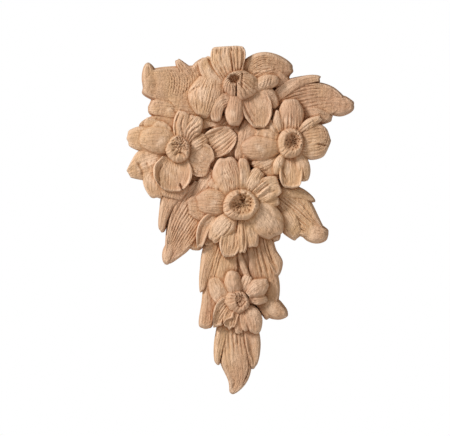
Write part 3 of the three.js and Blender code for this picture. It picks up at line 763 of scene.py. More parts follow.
FLOWERS = (
    Flower(
        "top_flower", (240.4, 86.0),
        Cup(17.9, 15.0, 5.4, (-6, -6.0), 80, 19, 32, 18, wave=0.08, traces=(
                Trace(((236.5, 83), (236.2, 91), (236, 101)), 16, 0.9, 1.1, 0.1),
                Trace(((250, 73), (254.5, 81), (252, 97)), 3, 2.4, 1.2),
                Trace(((243, 73), (242, 80), (242, 90)), 6, 1.2, 2.0)), seed=11),
        (
            petal(((212, 80), (207, 98), (203.5, 118.5)), (15, 17, 14, 8), (13, 19.5, 18.5, 11),
                (58.5, 65, 64, 52), -13.3, 7, roll=4.5, flutes=Flutes(12, 2.6, 0, 0.9),
                traces=(Trace(((189, 95), (193, 90.5), (200, 87)), 6, 1, 1.6),
                    Trace(((186, 108), (194, 114.5), (208, 118)), 5, 1, 2.4))),
            petal(((228, 86), (213, 77), (202.5, 59.5)), (8, 11, 7), (8, 11, 8.5), (54.5, 61, 55), -3,
                8.8, roll=2.4,
                traces=(Trace(((208, 57), (211.5, 65), (217, 73), (226, 81)), 10, 1.2, 3),)),
            petal(((236, 84), (229, 66), (228.4, 47.4)), (9, 15, 18.5, 17.2), (8, 12, 16.4, 16.5),
                (59.5, 66, 66), -3, 15.8, frill=0.02, roll=1.8, flutes=Flutes(9, 3.8, 0, 1.1),
                traces=(Trace(((232.6, 44), (231.4, 56), (233, 73)), 8, 0.8, 1.6, 0.05),
                    Trace(((243.4, 50), (243.4, 60), (240, 72)), 6, 1, 1.2))),
            petal(((233, 101), (213.5, 97.5), (217, 122.5)), (6, 7, 7, 6), (6, 7.5, 7.5, 7),
                (60, 66, 65, 59), -4, 6, roll=2.6, flutes=Flutes(6, 2.4)),
            petal(((235.5, 97), (234.5, 112), (234, 126.5)), (9, 10, 9.8, 8), (8.5, 9.8, 9.8, 8),
                (62.5, 69, 63), -13.3, 5.2, roll=4.5, rough=0.5, comb=0.2),
            petal(((250, 92), (259, 108), (259.5, 128.5)), (15, 16, 14, 9), (11, 15, 14, 9),
                (55.5, 62, 61), 4, 6.3, rim=2.4, roll=2, traces=(
                    Trace(((243, 102), (247.5, 114), (256, 127)), 5, 1.1, 1.3),
                    Trace(((248, 100), (251.5, 112), (260, 123)), 2.5, 2.4, 1),
                    Trace(((266, 97), (270, 106), (268.5, 118)), 4, 1.4, 2))),
            petal(((258, 92), (271, 94), (275, 108.5)), (7, 8, 7, 6), (7, 8, 7, 6), (55, 60, 55, 50), -5,
                5, roll=3),
            petal(((254, 88), (266, 80), (278.5, 80.5)), (6, 7, 6), (7, 9, 8), (60, 66, 56), -9, 5,
                roll=3.4, rough=1.6, traces=ladder(((262, 78), (262, 84), (258, 90)),
                    ((272, 78), (270, 84), (268, 90)), 4, 3.4, 1.2)),
            petal(((238, 120), (229, 125), (217, 133)), (5, 6, 5), (5, 6, 5), (38, 42, 40), -2),
        ),
        200,
    ),
    Flower(
        "left_flower", (178.5, 149.8),
        Cup(12.7, 14.0, 9.0, (2.0, -4.2), 74, 1.5, 30, 48, wave=0.08, seed=12,
            traces=(Trace(((174, 156), (181, 153), (188, 158)), 6, 1.2, 4),)),
        (
            petal(((172, 158), (152, 166), (129.2, 173.8)), (10, 14, 13, 6.4), (9, 17.5, 18, 8),
                (46.5, 49, 44, 40), -4, 6.8, roll=2.6, rough=1.6, traces=(
                    Trace(((138, 162), (142, 170), (143.5, 178)), 6, 3, 2),
                    Trace(((146, 160), (150, 168), (152, 180)), 4, 1, 2.5))),
            petal(((170, 170), (156, 178), (157, 198.4)), (8, 10, 9), (10, 17.4, 9), (39.5, 46, 42), -4,
                5.5, roll=2.6),
            petal(((168, 136), (156, 126), (146, 121)), (8, 9, 7), (8, 7, 5), (38.5, 45, 41), -2, 7),
            petal(((206, 152), (217, 145), (233.5, 131)), (12, 16.5, 13), (8, 14.5, 16.5), (41, 48, 53),
                5, 3.6, rim=2, roll=1.8, flutes=Flutes(8, 3.4, 0.05, 0.95)),
            petal(((188, 148), (197, 142), (206.5, 137)), (7, 8, 6), (7, 9, 8), (52, 57, 50), -5, 6,
                roll=2.6, flutes=Flutes(6, 3)),
            petal(((186, 144), (190, 131), (199, 118)), (7, 11.5, 12), (6, 10, 10), (58, 64, 58), -6, 5,
                roll=3.4, traces=ladder(((184, 140), (186, 128), (196, 117)),
                    ((190, 144), (197, 137), (206, 134)), 5, 4.6, 1.3)),
            petal(((180, 142), (180.5, 126), (184, 111.5)), (6, 8, 8), (7, 8.5, 8.5), (60, 65, 60), -4, 6,
                roll=3, traces=(Trace(((176.5, 139), (176, 124), (180, 113)), 7, 0.9, 1.6),
                    Trace(((184, 138), (181.5, 126), (184, 117)), 6, 0.9, 1.6),
                    Trace(((187.5, 110), (189, 114), (194, 118)), 8, 1.4, 2.4))),
            petal(((166, 144), (148, 140), (127.6, 139)), (10, 12, 11.5, 10), (10, 14, 14, 12),
                (46, 50, 50, 42), -7, 6, roll=4),
            petal(((172, 140), (163, 131), (154, 124)), (7, 8, 6), (7, 9, 7), (46, 56, 50), -6, 6, roll=3,
                rough=1.8),
            petal(((175, 142), (158, 140), (139, 139.5)), (12, 14.5, 14.5, 11), (10, 14, 14.5, 12),
                (56, 65, 65, 54), -16, 5.5, roll=5, comb=0.7, rough=1.2, flutes=Flutes(9, 1.6, 0.35, 1)),
            petal(((184, 153), (198, 158), (212, 165)), (11, 16.5, 15), (11, 18.5, 18), (50, 55, 53), 4,
                6, roll=1.8, flutes=Flutes(9, 2.8, 0.1, 0.95), frill=0.1),
            petal(((176, 172), (175, 186), (171, 198.5)), (12, 15, 13), (12, 14, 12), (46.5, 49, 48), -3,
                6.3, roll=2.4),
            petal(((175, 158), (173, 175), (171.5, 192)), (13, 19, 19, 14), (13, 20, 19.5, 13),
                (52, 56, 57, 58), 12, 5.2, rim=5, roll=1.8, traces=(
                    Trace(((165, 163), (159.5, 172), (161, 184)), 6, 1.2, 4),
                    Trace(((154, 180), (158, 182), (162, 187)), 9, 1, 1.6),
                    Trace(((180.5, 184), (182, 188), (184.5, 197)), 16, 0.8, 1.5, 0.05))),
        ),
        220,
    ),
    Flower(
        "right_flower", (290.0, 143.5),
        Cup(13.4, 15.6, 9.2, (3.4, -1.6), 78, 15, 28, 40, wave=0.06, seed=13),
        (
            petal(((250, 122), (244.5, 140), (240, 162)), (9, 11, 10), (8, 9, 9), (44, 52, 49), -4, 5,
                roll=4, rough=1.4, comb=0.6),
            petal(((258, 122), (267, 127), (274, 136)), (6, 8, 6), (6, 8, 6), (49, 52, 50), -3, 5,
                rough=1.4),
            petal(((258, 164), (260, 168), (266, 176)), (6, 8, 6), (6, 8, 6), (47, 50, 46), -3, 5,
                rough=1.4),
            petal(((270, 158), (274, 168), (272, 181)), (8, 9, 8), (8, 9, 8), (46, 49, 45), -4, 5,
                rough=1.5),
            petal(((277, 156), (263, 163), (252.5, 167)), (7, 10, 8), (7, 9, 8), (47, 54, 48), -7, 4.4,
                rough=2, roll=3.6),
            petal(((282, 138), (268, 134.5), (254, 133)), (7, 9, 7), (5, 8, 7.5), (50, 57, 50), -9, 4.6,
                roll=4, rough=1.8),
            petal(((281, 147), (260, 148), (239.5, 149.5)), (9, 13.4, 14.4, 11.5), (9, 13.2, 14.2, 11.5),
                (54, 64, 65, 50), -20, 4.6, roll=6, rough=0.9, comb=0.5),
            petal(((290, 136), (290.5, 116), (291, 99.5)), (11, 12.5, 12.5, 10), (11, 13, 13.5, 10),
                (56.5, 63, 64, 55), -11.4, 5.6, roll=4, flutes=Flutes(8, 5.5, 0, 0.62), rough=0.6),
            petal(((281, 132), (276.5, 122), (277.5, 111)), (4, 6, 4), (3.5, 5, 3.5), (56.5, 63, 56),
                -9.5, 4.2),
            petal(((278, 135), (272, 129), (269.5, 119.5)), (4, 5, 3.4), (4, 5, 3.4), (50.5, 57, 51),
                -7.6, 4.2),
            petal(((298, 133), (306, 124), (320.5, 118.5)), (3, 5, 4), (4, 6, 4.5), (58.5, 65, 58), -7.6,
                5.2, rough=2, roll=2.2, flutes=Flutes(4, 3)),
            petal(((298, 143), (314, 141), (328.8, 137.4)), (15, 18, 18.5, 15), (14, 19.5, 18.6, 9.5),
                (55.5, 62, 61, 53), -9.5, 5.8, roll=3.4, flutes=Flutes(11, 2.6, 0, 0.8),
                traces=(*ladder(((320, 126), (323, 138), (318, 152)),
                        ((324, 125), (327, 138), (322, 151)), 3, 2.2, 0.9),
                    Trace(((316, 144), (321, 145), (327, 146.5)), 7, 1, 1.8))),
            petal(((297, 154), (304.5, 166), (304.6, 181)), (6, 7, 5.4), (6, 7, 6), (53.5, 60, 54), -7.6,
                6, traces=(Trace(((301, 166), (301.6, 171), (302.6, 178)), 6, 1, 1),)),
            petal(((291, 154), (291, 172), (291.5, 188.5)), (11, 12, 11), (11, 12.4, 12), (50.5, 57, 59),
                6, 5.2, rim=4.5, roll=1.8,
                traces=(Trace(((282.5, 166), (282.5, 172), (286, 180)), 6, 1.4, 1),)),
            petal(((283, 156), (276.5, 164), (275.5, 175)), (4, 6, 5), (4, 5.5, 4.2), (56.5, 63, 57),
                -9.5, 5.2, roll=2.4),
        ),
        240,
    ),
    Flower(
        "centre_flower", (240.6, 205.7),
        Cup(18.0, 16.0, 11.4, (2.6, -1.6), 92, 19, 34, 56, wave=0.08, seed=14,
            traces=(Trace(((240, 188), (240.5, 194), (243.5, 201)), 10, 1.0, 3.4, 0.1),
                Trace(((240, 199.5), (243, 201), (246, 197.5)), 9, 1.2, 1.2))),
        (
            petal(((216, 174), (204, 185), (196, 202)), (8, 10, 9), (8, 9, 8), (46, 49, 44), -3, 5,
                rough=1.4),
            petal(((220, 220), (211, 232), (208, 246)), (7, 8, 6), (7, 8, 6), (46, 48, 45), -3, 5,
                rough=1.4),
            petal(((228, 206), (206, 205.5), (187.5, 205.5)), (16, 17, 16.5, 11), (16, 17.5, 16, 10),
                (54, 57, 53, 47), -6, 6.3, roll=4, flutes=Flutes(10, 3, 0.05, 0.8)),
            petal(((229, 203), (213, 201.8), (195.5, 202)), (13, 15, 15.5, 12.5), (12, 14.5, 15, 12),
                (62, 72, 71, 56), -19, 4.8, roll=6, flutes=Flutes(11, 2.6), rough=0.8),
            petal(((226, 193), (217, 187), (209, 181.5)), (4, 6, 5), (4, 6.5, 6), (56.5, 63, 56), -3, 5.2,
                rough=2.4, roll=2),
            petal(((233, 196), (229, 176), (225, 158)), (11, 15, 16, 11.5), (11, 14, 14, 10.5),
                (65.5, 72, 72, 62), -11.4, 6, roll=4, flutes=Flutes(12, 4.6, 0, 0.95, -1.2, 0.3)),
            petal(((241.5, 194), (242.5, 176), (242.5, 159)), (6, 6, 5.5), (7, 8.5, 6.5), (63.5, 70, 62),
                -7.6, 6.3, roll=2,
                traces=(Trace(((239.5, 163), (242, 175), (241.4, 189)), -4, 1.2, 2.4),)),
            petal(((246, 194), (252, 181), (260, 170)), (7, 9, 7.5), (7, 10, 8), (62.5, 69, 61), -9.5, 6,
                roll=2.6, flutes=Flutes(5, 2.4)),
            petal(((248, 200), (262, 190.5), (279.5, 184)), (9, 12.5, 11), (9, 12, 12), (60.5, 67, 63),
                -2, 7, roll=2.2, traces=(Trace(((251, 193), (260, 185), (269, 177)), -6, 1.2, 2),
                    Trace(((254, 189), (262, 182.5), (268, 178)), 6, 1, 1.6),
                    Trace(((256, 197.5), (262, 192.5), (270, 186)), -6, 1.2, 2),
                    Trace(((257, 194), (262, 189), (270, 183)), 6, 1, 1.6),
                    Trace(((262, 197), (268, 193), (276, 190)), 4, 1, 1.6))),
            petal(((253, 204), (267, 202), (279, 200.5)), (6, 6.5, 5), (7, 7.5, 6), (55.5, 62, 56), -3, 6,
                roll=2, traces=(Trace(((258, 198.5), (267, 199), (277, 196.5)), -4, 1.2, 2.4),)),
            petal(((250, 210), (266, 218), (276.5, 236.4)), (14, 18, 17, 12), (13, 17, 17, 12),
                (63.5, 70, 68, 57), -11.4, 6, roll=4.5, rough=1.2,
                traces=(Trace(((266, 207), (273, 216), (285, 223)), 4, 3, 2),)),
            petal(((247, 218), (251, 234), (253, 247.5)), (6, 8, 7), (6, 7.5, 7), (60.5, 67, 62), -7.6,
                5.6, roll=2.6, rough=1.6),
            petal(((225, 215), (202, 213), (200, 247.5)), (5, 7.5, 7, 4.5), (5, 6, 6.5, 5),
                (53.5, 60, 56, 55), 4, 6, rim=4, roll=1.6),
            petal(((236, 219), (231, 238), (228, 256.5)), (7, 11, 12, 9), (6, 11, 12, 9), (58.5, 65, 64),
                3, 5.6, rim=1.5, roll=2, flutes=Flutes(6, 2.4, 0, 0.9)),
            petal(((235, 217), (225, 221), (212, 241)), (7, 11, 11, 8), (6, 10, 11, 9),
                (64.5, 71, 70, 61), -7.6, 5.2, roll=2.8, comb=0.5, traces=(
                    Trace(((232, 223), (226.5, 232), (214, 243)), 6, 1.2, 0.9),
                    Trace(((229, 222), (223.5, 230), (213, 239)), 3, 1, 1))),
            petal(((241, 219), (243.5, 236), (242, 253)), (4, 6, 5), (4, 6, 4.8), (63.5, 70, 65), -7.6,
                5.6, roll=2.2, flutes=Flutes(3, 4)),
        ),
        260,
    ),
    Flower(
        "lower_flower", (237.6, 300.8),
        Cup(12.3, 11.7, 5.4, (3, -1.6), 71, 6, 26, 16, wave=0.14, seed=15,
            traces=(Trace(((236.5, 300), (240, 306), (247, 300)), 7, 1.2, 1.4),
                Trace(((240, 309), (247.5, 307), (249.5, 298)), -4, 1.2, 1.2),
                Trace(((234, 290), (235.5, 293), (237, 297)), 5, 0.8, 0.8),
                Trace(((238, 289.5), (239, 293), (240, 296)), 5, 0.8, 0.8),
                Trace(((242, 290), (242, 293), (243, 295)), 4, 0.8, 0.8))),
        (
            petal(((238, 309), (238, 322), (239, 333)), (4, 4.6, 5), (4, 4.6, 4.5), (47.5, 51, 47), -3, 7),
            petal(((235, 294), (232.5, 281), (232, 270.5)), (8, 9.5, 9), (8, 9.5, 9), (57, 66, 60), -16,
                4, roll=4.6, rough=1.5),
            petal(((230, 303), (219, 293), (213.5, 277)), (9, 11, 9), (7, 9, 8), (50, 54, 46), -6, 5,
                roll=3.6, rough=1.6),
            petal(((234, 305), (231, 316), (229.5, 328)), (5, 8, 7), (5, 8, 7), (52, 56, 55), 3, 5,
                frill=0.12, flutes=Flutes(5, 2.4)),
            petal(((234, 302), (221, 306), (216, 326.5)), (8, 12, 10, 8), (7, 10, 9, 7), (52, 56, 57, 57),
                7, 5, rim=2.6, frill=0.12, roll=1.8, flutes=Flutes(8, 2.4),
                traces=(Trace(((225, 316), (223, 322), (222, 331)), 14, 0.9, 1.5),)),
            petal(((241, 308), (244.5, 319), (245, 330.5)), (4, 5, 4.4), (3, 4.4, 4), (50.5, 57, 52), -3,
                5.2, rough=1.6),
            petal(((246, 307), (254, 315), (254.5, 333)), (5, 10, 8), (5, 8.5, 6.4), (56.5, 63, 58), -7.6,
                5.6, rough=1.4, roll=3.4),
            petal(((249, 298), (258, 298.5), (267.5, 299.5)), (5, 6.5, 4.6), (5, 6, 4), (50.5, 57, 51),
                -3, 4.5, roll=2),
            petal(((248, 295), (256, 288), (267.5, 281)), (5, 10, 6.5), (5, 10, 7), (57.5, 64, 57), -13.3,
                4.5, roll=2.8),
            petal(((242, 291), (245.5, 283), (249, 275)), (5, 6, 5.4), (5, 6, 5.4), (51.5, 58, 53), -3,
                6.3, rough=2.4),
        ),
        280,
    ),
)


@dataclass
class Carving:
    """The whole drop, joined from its bodies into one closed solid."""

    parts: tuple[Leaf | Flower, ...]
    name: str = "applique_carving"
    solver: Solver = Solver.FAST

    # Half width, thickness and half height of the slab that cuts the back, in metres.
    SLAB = (0.2, 0.02, 0.3)
    # Per cent of the relief from which a point counts as front, and where bare places count as lying.
    FRONT = 12.0
    BARE = 14.0
    # Sheet units left free round the height map.
    MARGIN = 12
    # Marks on the mesh: how far round a point they look, and the difference in height that fills them.
    # Crevice and crease mask the painted shade, ridge masks the painted highlight.
    MARKS = (("crevice", 4.0, 16.0), ("crease", 1.5, 6.0), ("ridge", 1.8, -7.0))

    def build(self) -> bpy.types.Object:
        """Carve, join and clean the drop, and put it in its place."""
        mesh = self.joined(self.carved())
        mesh.name = self.name
        self.clean(mesh)
        carving = bpy.data.objects.new(self.name, mesh)
        bpy.context.scene.collection.objects.link(carving)
        mesh.shade_smooth()
        mesh.set_sharp_from_angle(angle=SHARP_ANGLE)
        self.shade_marks(mesh)
        return carving

    def carved(self) -> list[bpy.types.Object]:
        """Closed bodies of all parts, in metres."""
        scale = (SHEET_UNIT, RELIEF_DEPTH / 100.0, SHEET_UNIT)
        made: list[bpy.types.Object] = []
        for part in self.parts:
            bodies = part.bodies()
            made += [body.to_object(f"{part.name}_{k}", scale) for k, body in enumerate(bodies)]
            log.info("%s: %d bodies", part.name, len(bodies))
        return made

    def joined(self, made: list[bpy.types.Object]) -> bpy.types.Mesh:
        """Join the bodies, cut the back flat and take the bodies away.

        Args:
            made: the closed bodies.

        Returns:
            One mesh of them all.
        """
        store = bpy.data.collections.new("carved_bodies")
        first, slab = made[0], self.back_slab()
        bpy.context.scene.collection.objects.link(first)
        for other in made[1:]:
            store.objects.link(other)
        join = first.modifiers.new("join", "BOOLEAN")
        join.operation, join.operand_type, join.collection = "UNION", "COLLECTION", store
        trim = first.modifiers.new("trim", "BOOLEAN")
        trim.operation, trim.object = "DIFFERENCE", slab
        join.solver = trim.solver = self.solver.value
        ready = bpy.context.evaluated_depsgraph_get()
        mesh = bpy.data.meshes.new_from_object(first.evaluated_get(ready))
        for gone in (*made, slab):
            bpy.data.objects.remove(gone)
        bpy.data.collections.remove(store)
        return mesh

    @staticmethod
    def clean(mesh: bpy.types.Mesh) -> None:
        """Take out the slivers and needless vertices that the joins leave; the solid stays closed."""
        mesh.validate()
        work = bmesh.new()
        work.from_mesh(mesh)
        for _ in range(CLEANINGS):
            stray = [face for face in work.faces if any(len(edge.link_faces) != 2 for edge in face.edges)]
            bmesh.ops.delete(work, geom=stray, context="FACES")
            between = [vertex for vertex in work.verts if len(vertex.link_edges) == 2]
            bmesh.ops.dissolve_verts(work, verts=between)
            log.info("cleaned: %d stray faces, %d vertices between two edges", len(stray), len(between))
        work.to_mesh(mesh)
        work.free()

    def back_slab(self) -> bpy.types.Object:
        """Thick slab whose front face is the plane of the back."""
        x, y, z = self.SLAB
        corners = [(sx * x, sy * y, sz * z) for sx in (-1, 1) for sy in (0, 1) for sz in (-1, 1)]
        faces = [(0, 1, 3, 2), (4, 6, 7, 5), (0, 4, 5, 1), (2, 3, 7, 6), (0, 2, 6, 4), (1, 5, 7, 3)]
        mesh = bpy.data.meshes.new("back_slab")
        mesh.from_pydata(corners, [], faces)
        slab = bpy.data.objects.new("back_slab", mesh)
        bpy.context.scene.collection.objects.link(slab)
        return slab

    def shade_marks(self, mesh: bpy.types.Mesh) -> None:
        """Store how deep each point lies in a crevice or crease, and how far it stands out as a ridge, as
        masks for the painted shade and the painted highlight.
        """
        points = np.empty(len(mesh.vertices) * 3)
        mesh.vertices.foreach_get("co", points)
        points = points.reshape(-1, 3)
        x, z = points[:, 0] / SHEET_UNIT, points[:, 2] / SHEET_UNIT
        height = -points[:, 1] / RELIEF_DEPTH * 100.0
        low_x, low_z = x.min() - self.MARGIN, z.min() - self.MARGIN
        columns, rows = (int(np.ptp(values)) + 2 * self.MARGIN + 2 for values in (x, z))
        i, j = np.round(x - low_x).astype(int), np.round(z - low_z).astype(int)
        front = height > self.FRONT
        total, count = np.zeros((columns, rows)), np.zeros((columns, rows))
        np.add.at(total, (i[front], j[front]), height[front])
        np.add.at(count, (i[front], j[front]), 1.0)
        around = np.where(count > 0, total / np.maximum(count, 1.0), self.BARE)
        for name, reach, scale in self.MARKS:
            near = self.spread(around, reach)
            value = (near[i, j] - height) / scale
            marks = mesh.attributes.new(name, "FLOAT", "POINT")
            marks.data.foreach_set("value", np.where(front, np.clip(value, 0.0, 1.0), 0.0))

    @staticmethod
    def spread(values: Array, reach: float) -> Array:
        """Blur a height map over the given reach, in sheet units."""
        offsets = np.arange(-int(3 * reach), int(3 * reach) + 1)
        weights = np.exp(-((offsets / reach) ** 2) / 2)
        weights /= weights.sum()
        for axis in (0, 1):
            values = sum(w * np.roll(values, k, axis) for w, k in zip(weights, offsets))
        return values


class Graph:
    """Adds nodes to one shader tree."""

    def __init__(self, tree: bpy.types.NodeTree) -> None:
        """Work on the given tree."""
        self.tree = tree

    def node(self, kind: str, **settings: object) -> bpy.types.Node:
        """New node of a kind, with its settings."""
        made = self.tree.nodes.new(kind)
        for name, value in settings.items():
            setattr(made, name, value)
        return made

    def feed(self, source: Feed, target: bpy.types.NodeSocket) -> None:
        """Link a socket to the target, or set the target to a plain value."""
        if isinstance(source, bpy.types.NodeSocket):
            self.tree.links.new(source, target)
        else:
            target.default_value = source

    def math(self, operation: str, *values: Feed) -> bpy.types.NodeSocket:
        """Result of a math node on sockets and plain values."""
        made = self.node("ShaderNodeMath", operation=operation)
        for value, target in zip(values, made.inputs):
            self.feed(value, target)
        return made.outputs[0]

    def noise(self, stretch: Row, scale: float, detail: float, rough: float) -> bpy.types.NodeSocket:
        """Noise over the place that a group is given.

        Args:
            stretch: scale along each axis, under 1 for long marks.
            scale: marks per unit.
            detail: octaves of finer marks.
            rough: how strong the finer marks are.

        Returns:
            The noise's value.
        """
        mapping = self.node("ShaderNodeMapping")
        mapping.inputs["Scale"].default_value = stretch
        cloud = self.node("ShaderNodeTexNoise")
        for name, value in (("Scale", scale), ("Detail", detail), ("Roughness", rough)):
            cloud.inputs[name].default_value = value
        self.feed(self.tree.nodes["in"].outputs["Place"], mapping.inputs["Vector"])
        self.feed(mapping.outputs["Vector"], cloud.inputs["Vector"])
        return cloud.outputs["Fac"]

    def give(self, name: str, value: bpy.types.NodeSocket, low: float = 0.0, high: float = 1.0) -> None:
        """Put a value out of a group, stretched so that low becomes 0 and high becomes 1."""
        if (low, high) != (0.0, 1.0):
            value = self.span(value, low, high)
        self.feed(value, self.tree.nodes["out"].inputs[name])

    def span(self, value: bpy.types.NodeSocket, low: float, high: float) -> bpy.types.NodeSocket:
        """Stretch a value so that low becomes 0 and high becomes 1."""
        stretch = self.node("ShaderNodeMapRange")
        stretch.inputs["From Min"].default_value = low
        stretch.inputs["From Max"].default_value = high
        self.feed(value, stretch.inputs["Value"])
        return stretch.outputs["Result"]

    def use(self, group: bpy.types.NodeTree, place: bpy.types.NodeSocket) -> bpy.types.bpy_prop_collection:
        """Put a group into the tree, give it the place, and return its outputs."""
        made = self.node("ShaderNodeGroup", node_tree=group)
        self.feed(place, made.inputs["Place"])
        return made.outputs

    def mark(self, name: str) -> bpy.types.NodeSocket:
        """Value stored on the mesh under a name."""
        return self.node("ShaderNodeAttribute", attribute_name=name).outputs["Fac"]

    def mix(self, mask: bpy.types.NodeSocket, share: float, under: Feed, over: Feed) -> bpy.types.NodeSocket:
        """Lay one colour over another where a mask says.

        Args:
            mask: how far the upper colour shows, from 0 to 1.
            share: the most that it shows.
            under: the lower colour.
            over: the upper colour.

        Returns:
            The mixed colour.
        """
        made = self.node("ShaderNodeMix", data_type="RGBA")
        self.feed(self.math("MULTIPLY", mask, share), made.inputs[0])
        self.feed(under, made.inputs[6])
        self.feed(over, made.inputs[7])
        return made.outputs[2]


@dataclass(frozen=True)
class BareWood:
    """Bare carved wood: broad changes of tone, a fine upright grain, pores and tool fuzz, with painted shade
    in the crevices and creases and a painted highlight on the ridges.
    """

    pink: Colour = (0.503, 0.284, 0.168, 1.0)
    straw: Colour = (0.573, 0.348, 0.180, 1.0)
    pore: Colour = (0.330, 0.170, 0.095, 1.0)
    shadow: Colour = (0.350, 0.125, 0.034, 1.0)
    # Paler colour of the wood itself for the grain streaks and gouge lines, also laid on the ridges as a
    # painted highlight.
    pale_wood_and_highlight: Colour = (0.810, 0.590, 0.430, 1.0)
    roughness: float = 0.78
    specular: float = 0.25
    bump_strength: float = 0.8
    bump_distance: float = 0.0005
    name: str = "bare_wood"

    @staticmethod
    def group(name: str, *outputs: str) -> Graph:
        """Start a node group that takes a place and gives values.

        Args:
            name: the group's name.
            outputs: names of the values it gives.

        Returns:
            The group's graph, with its input and output nodes.
        """
        tree = bpy.data.node_groups.new(name, "ShaderNodeTree")
        tree.interface.new_socket("Place", in_out="INPUT", socket_type="NodeSocketVector")
        for output in outputs:
            tree.interface.new_socket(output, in_out="OUTPUT", socket_type="NodeSocketFloat")
        tree.nodes.new("NodeGroupInput").name = "in"
        tree.nodes.new("NodeGroupOutput").name = "out"
        return Graph(tree)

    def figure(self) -> bpy.types.NodeTree:
        """Group for the broad change of tone and the upright streaks of the grain."""
        graph = self.group("wood_figure", "Tone", "Streak")
        graph.give("Tone", graph.noise((1, 1, 0.5), 38.0, 3.0, 0.55), 0.36, 0.64)
        graph.give("Streak", graph.noise((1, 1, 0.07), 620.0, 4.0, 0.6), 0.34, 0.66)
        return graph.tree

    def pores(self) -> bpy.types.NodeTree:
        """Group for the short dark pores along the grain, which come in fields."""
        graph = self.group("wood_pores", "Pore")
        dashes = graph.span(graph.noise((1, 1, 0.2), 1500.0, 2.0, 0.5), 0.58, 0.74)
        fields = graph.span(graph.noise((1, 1, 0.6), 160.0, 2.0, 0.5), 0.38, 0.60)
        graph.give("Pore", graph.math("MULTIPLY", dashes, fields))
        return graph.tree

    def strokes(self) -> bpy.types.NodeTree:
        """Group for the fine lines that a gouge leaves along each lobe."""
        graph = self.group("gouge_strokes", "Line", "Facet")
        graph.give("Line", graph.noise((1, 0.07, 1), 0.85, 3.0, 0.62), 0.34, 0.66)
        graph.give("Facet", graph.noise((1, 0.16, 1), 0.36, 1.0, 0.4), 0.3, 0.7)
        return graph.tree

    def fuzz(self) -> bpy.types.NodeTree:
        """Group for the torn fibres and small tool marks."""
        graph = self.group("wood_fuzz", "Height")
        fibres = graph.noise((1, 1, 0.3), 900.0, 3.0, 0.65)
        dents = graph.noise((1, 1, 0.8), 420.0, 2.0, 0.5)
        graph.give("Height", graph.math("MULTIPLY_ADD", fibres, 0.7, dents))
        return graph.tree

    def material(self) -> bpy.types.Material:
        """Make the material."""
        wood = bpy.data.materials.new(self.name)
        wood.use_nodes = True
        graph = Graph(wood.node_tree)
        shader = wood.node_tree.nodes["Principled BSDF"]
        place = graph.node("ShaderNodeTexCoord").outputs["Object"]
        along = graph.node("ShaderNodeUVMap", uv_map=STROKES).outputs["UV"]
        groups = (self.figure(), self.pores(), self.fuzz())
        figure, pores, fuzz = (graph.use(group, place) for group in groups)
        strokes = graph.use(self.strokes(), along)
        colour = graph.mix(figure["Tone"], 1.0, self.pink, self.straw)
        for mask, share, over in (
            (figure["Streak"], 0.16, self.pale_wood_and_highlight),
            # Painted highlight: the ridges are lightened towards the pale colour.
            (graph.mark("ridge"), 0.55, self.pale_wood_and_highlight),
            (strokes["Line"], 0.16, self.pale_wood_and_highlight),
            (pores["Pore"], 0.55, self.pore),
            # Painted shade: the crevices and creases are darkened with the shadow colour.
            (graph.mark("crevice"), 0.45, self.shadow),
            (graph.mark("crease"), 0.6, self.shadow),
        ):
            colour = graph.mix(mask, share, colour, over)
        graph.feed(colour, shader.inputs["Base Color"])
        worn_smooth = graph.math("MULTIPLY_ADD", figure["Streak"], -0.12, self.roughness)
        graph.feed(graph.math("MULTIPLY_ADD", pores["Pore"], 0.2, worn_smooth), shader.inputs["Roughness"])
        bump = graph.node("ShaderNodeBump")
        bump.inputs["Strength"].default_value = self.bump_strength
        bump.inputs["Distance"].default_value = self.bump_distance
        relief: Feed = 0.0
        for height, weight in (
            (fuzz["Height"], 1.9), (pores["Pore"], -0.8), (strokes["Line"], 0.9), (strokes["Facet"], 0.9),
        ):
            relief = graph.math("MULTIPLY_ADD", height, weight, relief)
        graph.feed(relief, bump.inputs["Height"])
        graph.feed(bump.outputs["Normal"], shader.inputs["Normal"])
        shader.inputs["Specular IOR Level"].default_value = self.specular
        return wood


@dataclass(frozen=True)
class SoftLight:
    """Square soft light that looks at the drop."""

    name: str
    place: tuple[float, float, float]
    power: float
    size: float

    def build(self) -> None:
        """Put the light up."""
        data = bpy.data.lights.new(self.name, "AREA")
        data.energy = self.power
        data.size = self.size
        holder = bpy.data.objects.new(self.name, data)
        holder.location = self.place
        holder.rotation_euler = Vector(self.place).to_track_quat("Z", "Y").to_euler()
        bpy.context.scene.collection.objects.link(holder)


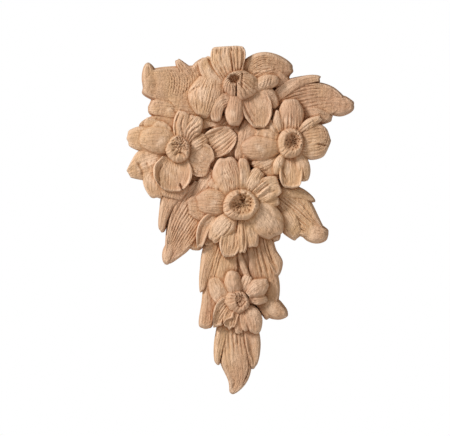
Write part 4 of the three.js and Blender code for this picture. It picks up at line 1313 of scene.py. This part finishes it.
@dataclass(frozen=True)
class Studio:
    """Pale floor, soft lights and a level camera that frames the drop as the photograph does."""

    distance: float = 1.8
    frame_width: float = 450.0
    frame_middle: Point = (225.0, 218.0)
    sensor: float = 36.0
    floor_reach: float = 1.2
    floor_level: float = -0.24
    floor_colour: Colour = (0.8, 0.8, 0.8, 1.0)
    sky_colour: Colour = (1.0, 0.88, 0.74, 1.0)
    sky_strength: float = 0.34
    backdrop_colour: Colour = (1.0, 1.0, 1.0, 1.0)
    lights: tuple[SoftLight, ...] = (
        SoftLight("key", (-1.3, -1.0, 1.1), 41.2, 0.5),
        SoftLight("fill", (1.2, -1.4, 0.2), 2.5, 1.2),
    )

    def camera(self) -> None:
        """Put the camera up in front of the middle of the frame."""
        data = bpy.data.cameras.new("camera")
        data.sensor_width = self.sensor
        data.lens = self.distance * self.sensor / (self.frame_width * SHEET_UNIT)
        data.clip_end = 20.0
        holder = bpy.data.objects.new("camera", data)
        x, z = from_sheet(self.frame_middle)
        holder.location = (x * SHEET_UNIT, -self.distance, z * SHEET_UNIT)
        holder.rotation_euler = (math.radians(90), 0, 0)
        bpy.context.scene.collection.objects.link(holder)
        bpy.context.scene.camera = holder

    def floor(self) -> None:
        """Lay the pale floor below the drop."""
        mesh = bpy.data.meshes.new("floor")
        reach, level = self.floor_reach, self.floor_level
        corners = [(sx * reach, sy * reach, level) for sx, sy in ((-1, -1), (1, -1), (1, 1), (-1, 1))]
        mesh.from_pydata(corners, [], [(0, 1, 2, 3)])
        floor = bpy.data.objects.new("floor", mesh)
        pale = bpy.data.materials.new("pale_floor")
        pale.use_nodes = True
        pale.node_tree.nodes["Principled BSDF"].inputs["Base Color"].default_value = self.floor_colour
        pale.node_tree.nodes["Principled BSDF"].inputs["Roughness"].default_value = 0.9
        mesh.materials.append(pale)
        bpy.context.scene.collection.objects.link(floor)

    def surroundings(self) -> None:
        """White backdrop all round, dimmer as a light than it looks."""
        world = bpy.data.worlds.new("studio")
        world.use_nodes = True
        graph = Graph(world.node_tree)
        light = world.node_tree.nodes["Background"]
        light.inputs["Color"].default_value = self.sky_colour
        light.inputs["Strength"].default_value = self.sky_strength
        white = graph.node("ShaderNodeBackground")
        white.inputs["Color"].default_value = self.backdrop_colour
        pick = graph.node("ShaderNodeMixShader")
        graph.feed(graph.node("ShaderNodeLightPath").outputs["Is Camera Ray"], pick.inputs[0])
        graph.feed(light.outputs[0], pick.inputs[1])
        graph.feed(white.outputs[0], pick.inputs[2])
        graph.feed(pick.outputs[0], world.node_tree.nodes["World Output"].inputs[0])
        bpy.context.scene.world = world

    def build(self) -> None:
        """Set the studio up."""
        self.camera()
        self.floor()
        self.surroundings()
        for light in self.lights:
            light.build()
        bpy.context.scene.view_settings.view_transform = "Standard"


def main() -> None:
    """Build the drop, dress it and set up the studio."""
    logging.basicConfig(level=logging.INFO, format="%(name)s: %(message)s")
    carving = Carving((*LEAVES, *FLOWERS)).build()
    carving.data.materials.clear()
    carving.data.materials.append(BareWood().material())
    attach(carving, "root")
    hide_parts("applique")
    triangles = sum(len(face.vertices) - 2 for face in carving.data.polygons)
    log.info("%s: %d triangles", carving.name, triangles)
    Studio().build()


if __name__ == "__main__":
    main()
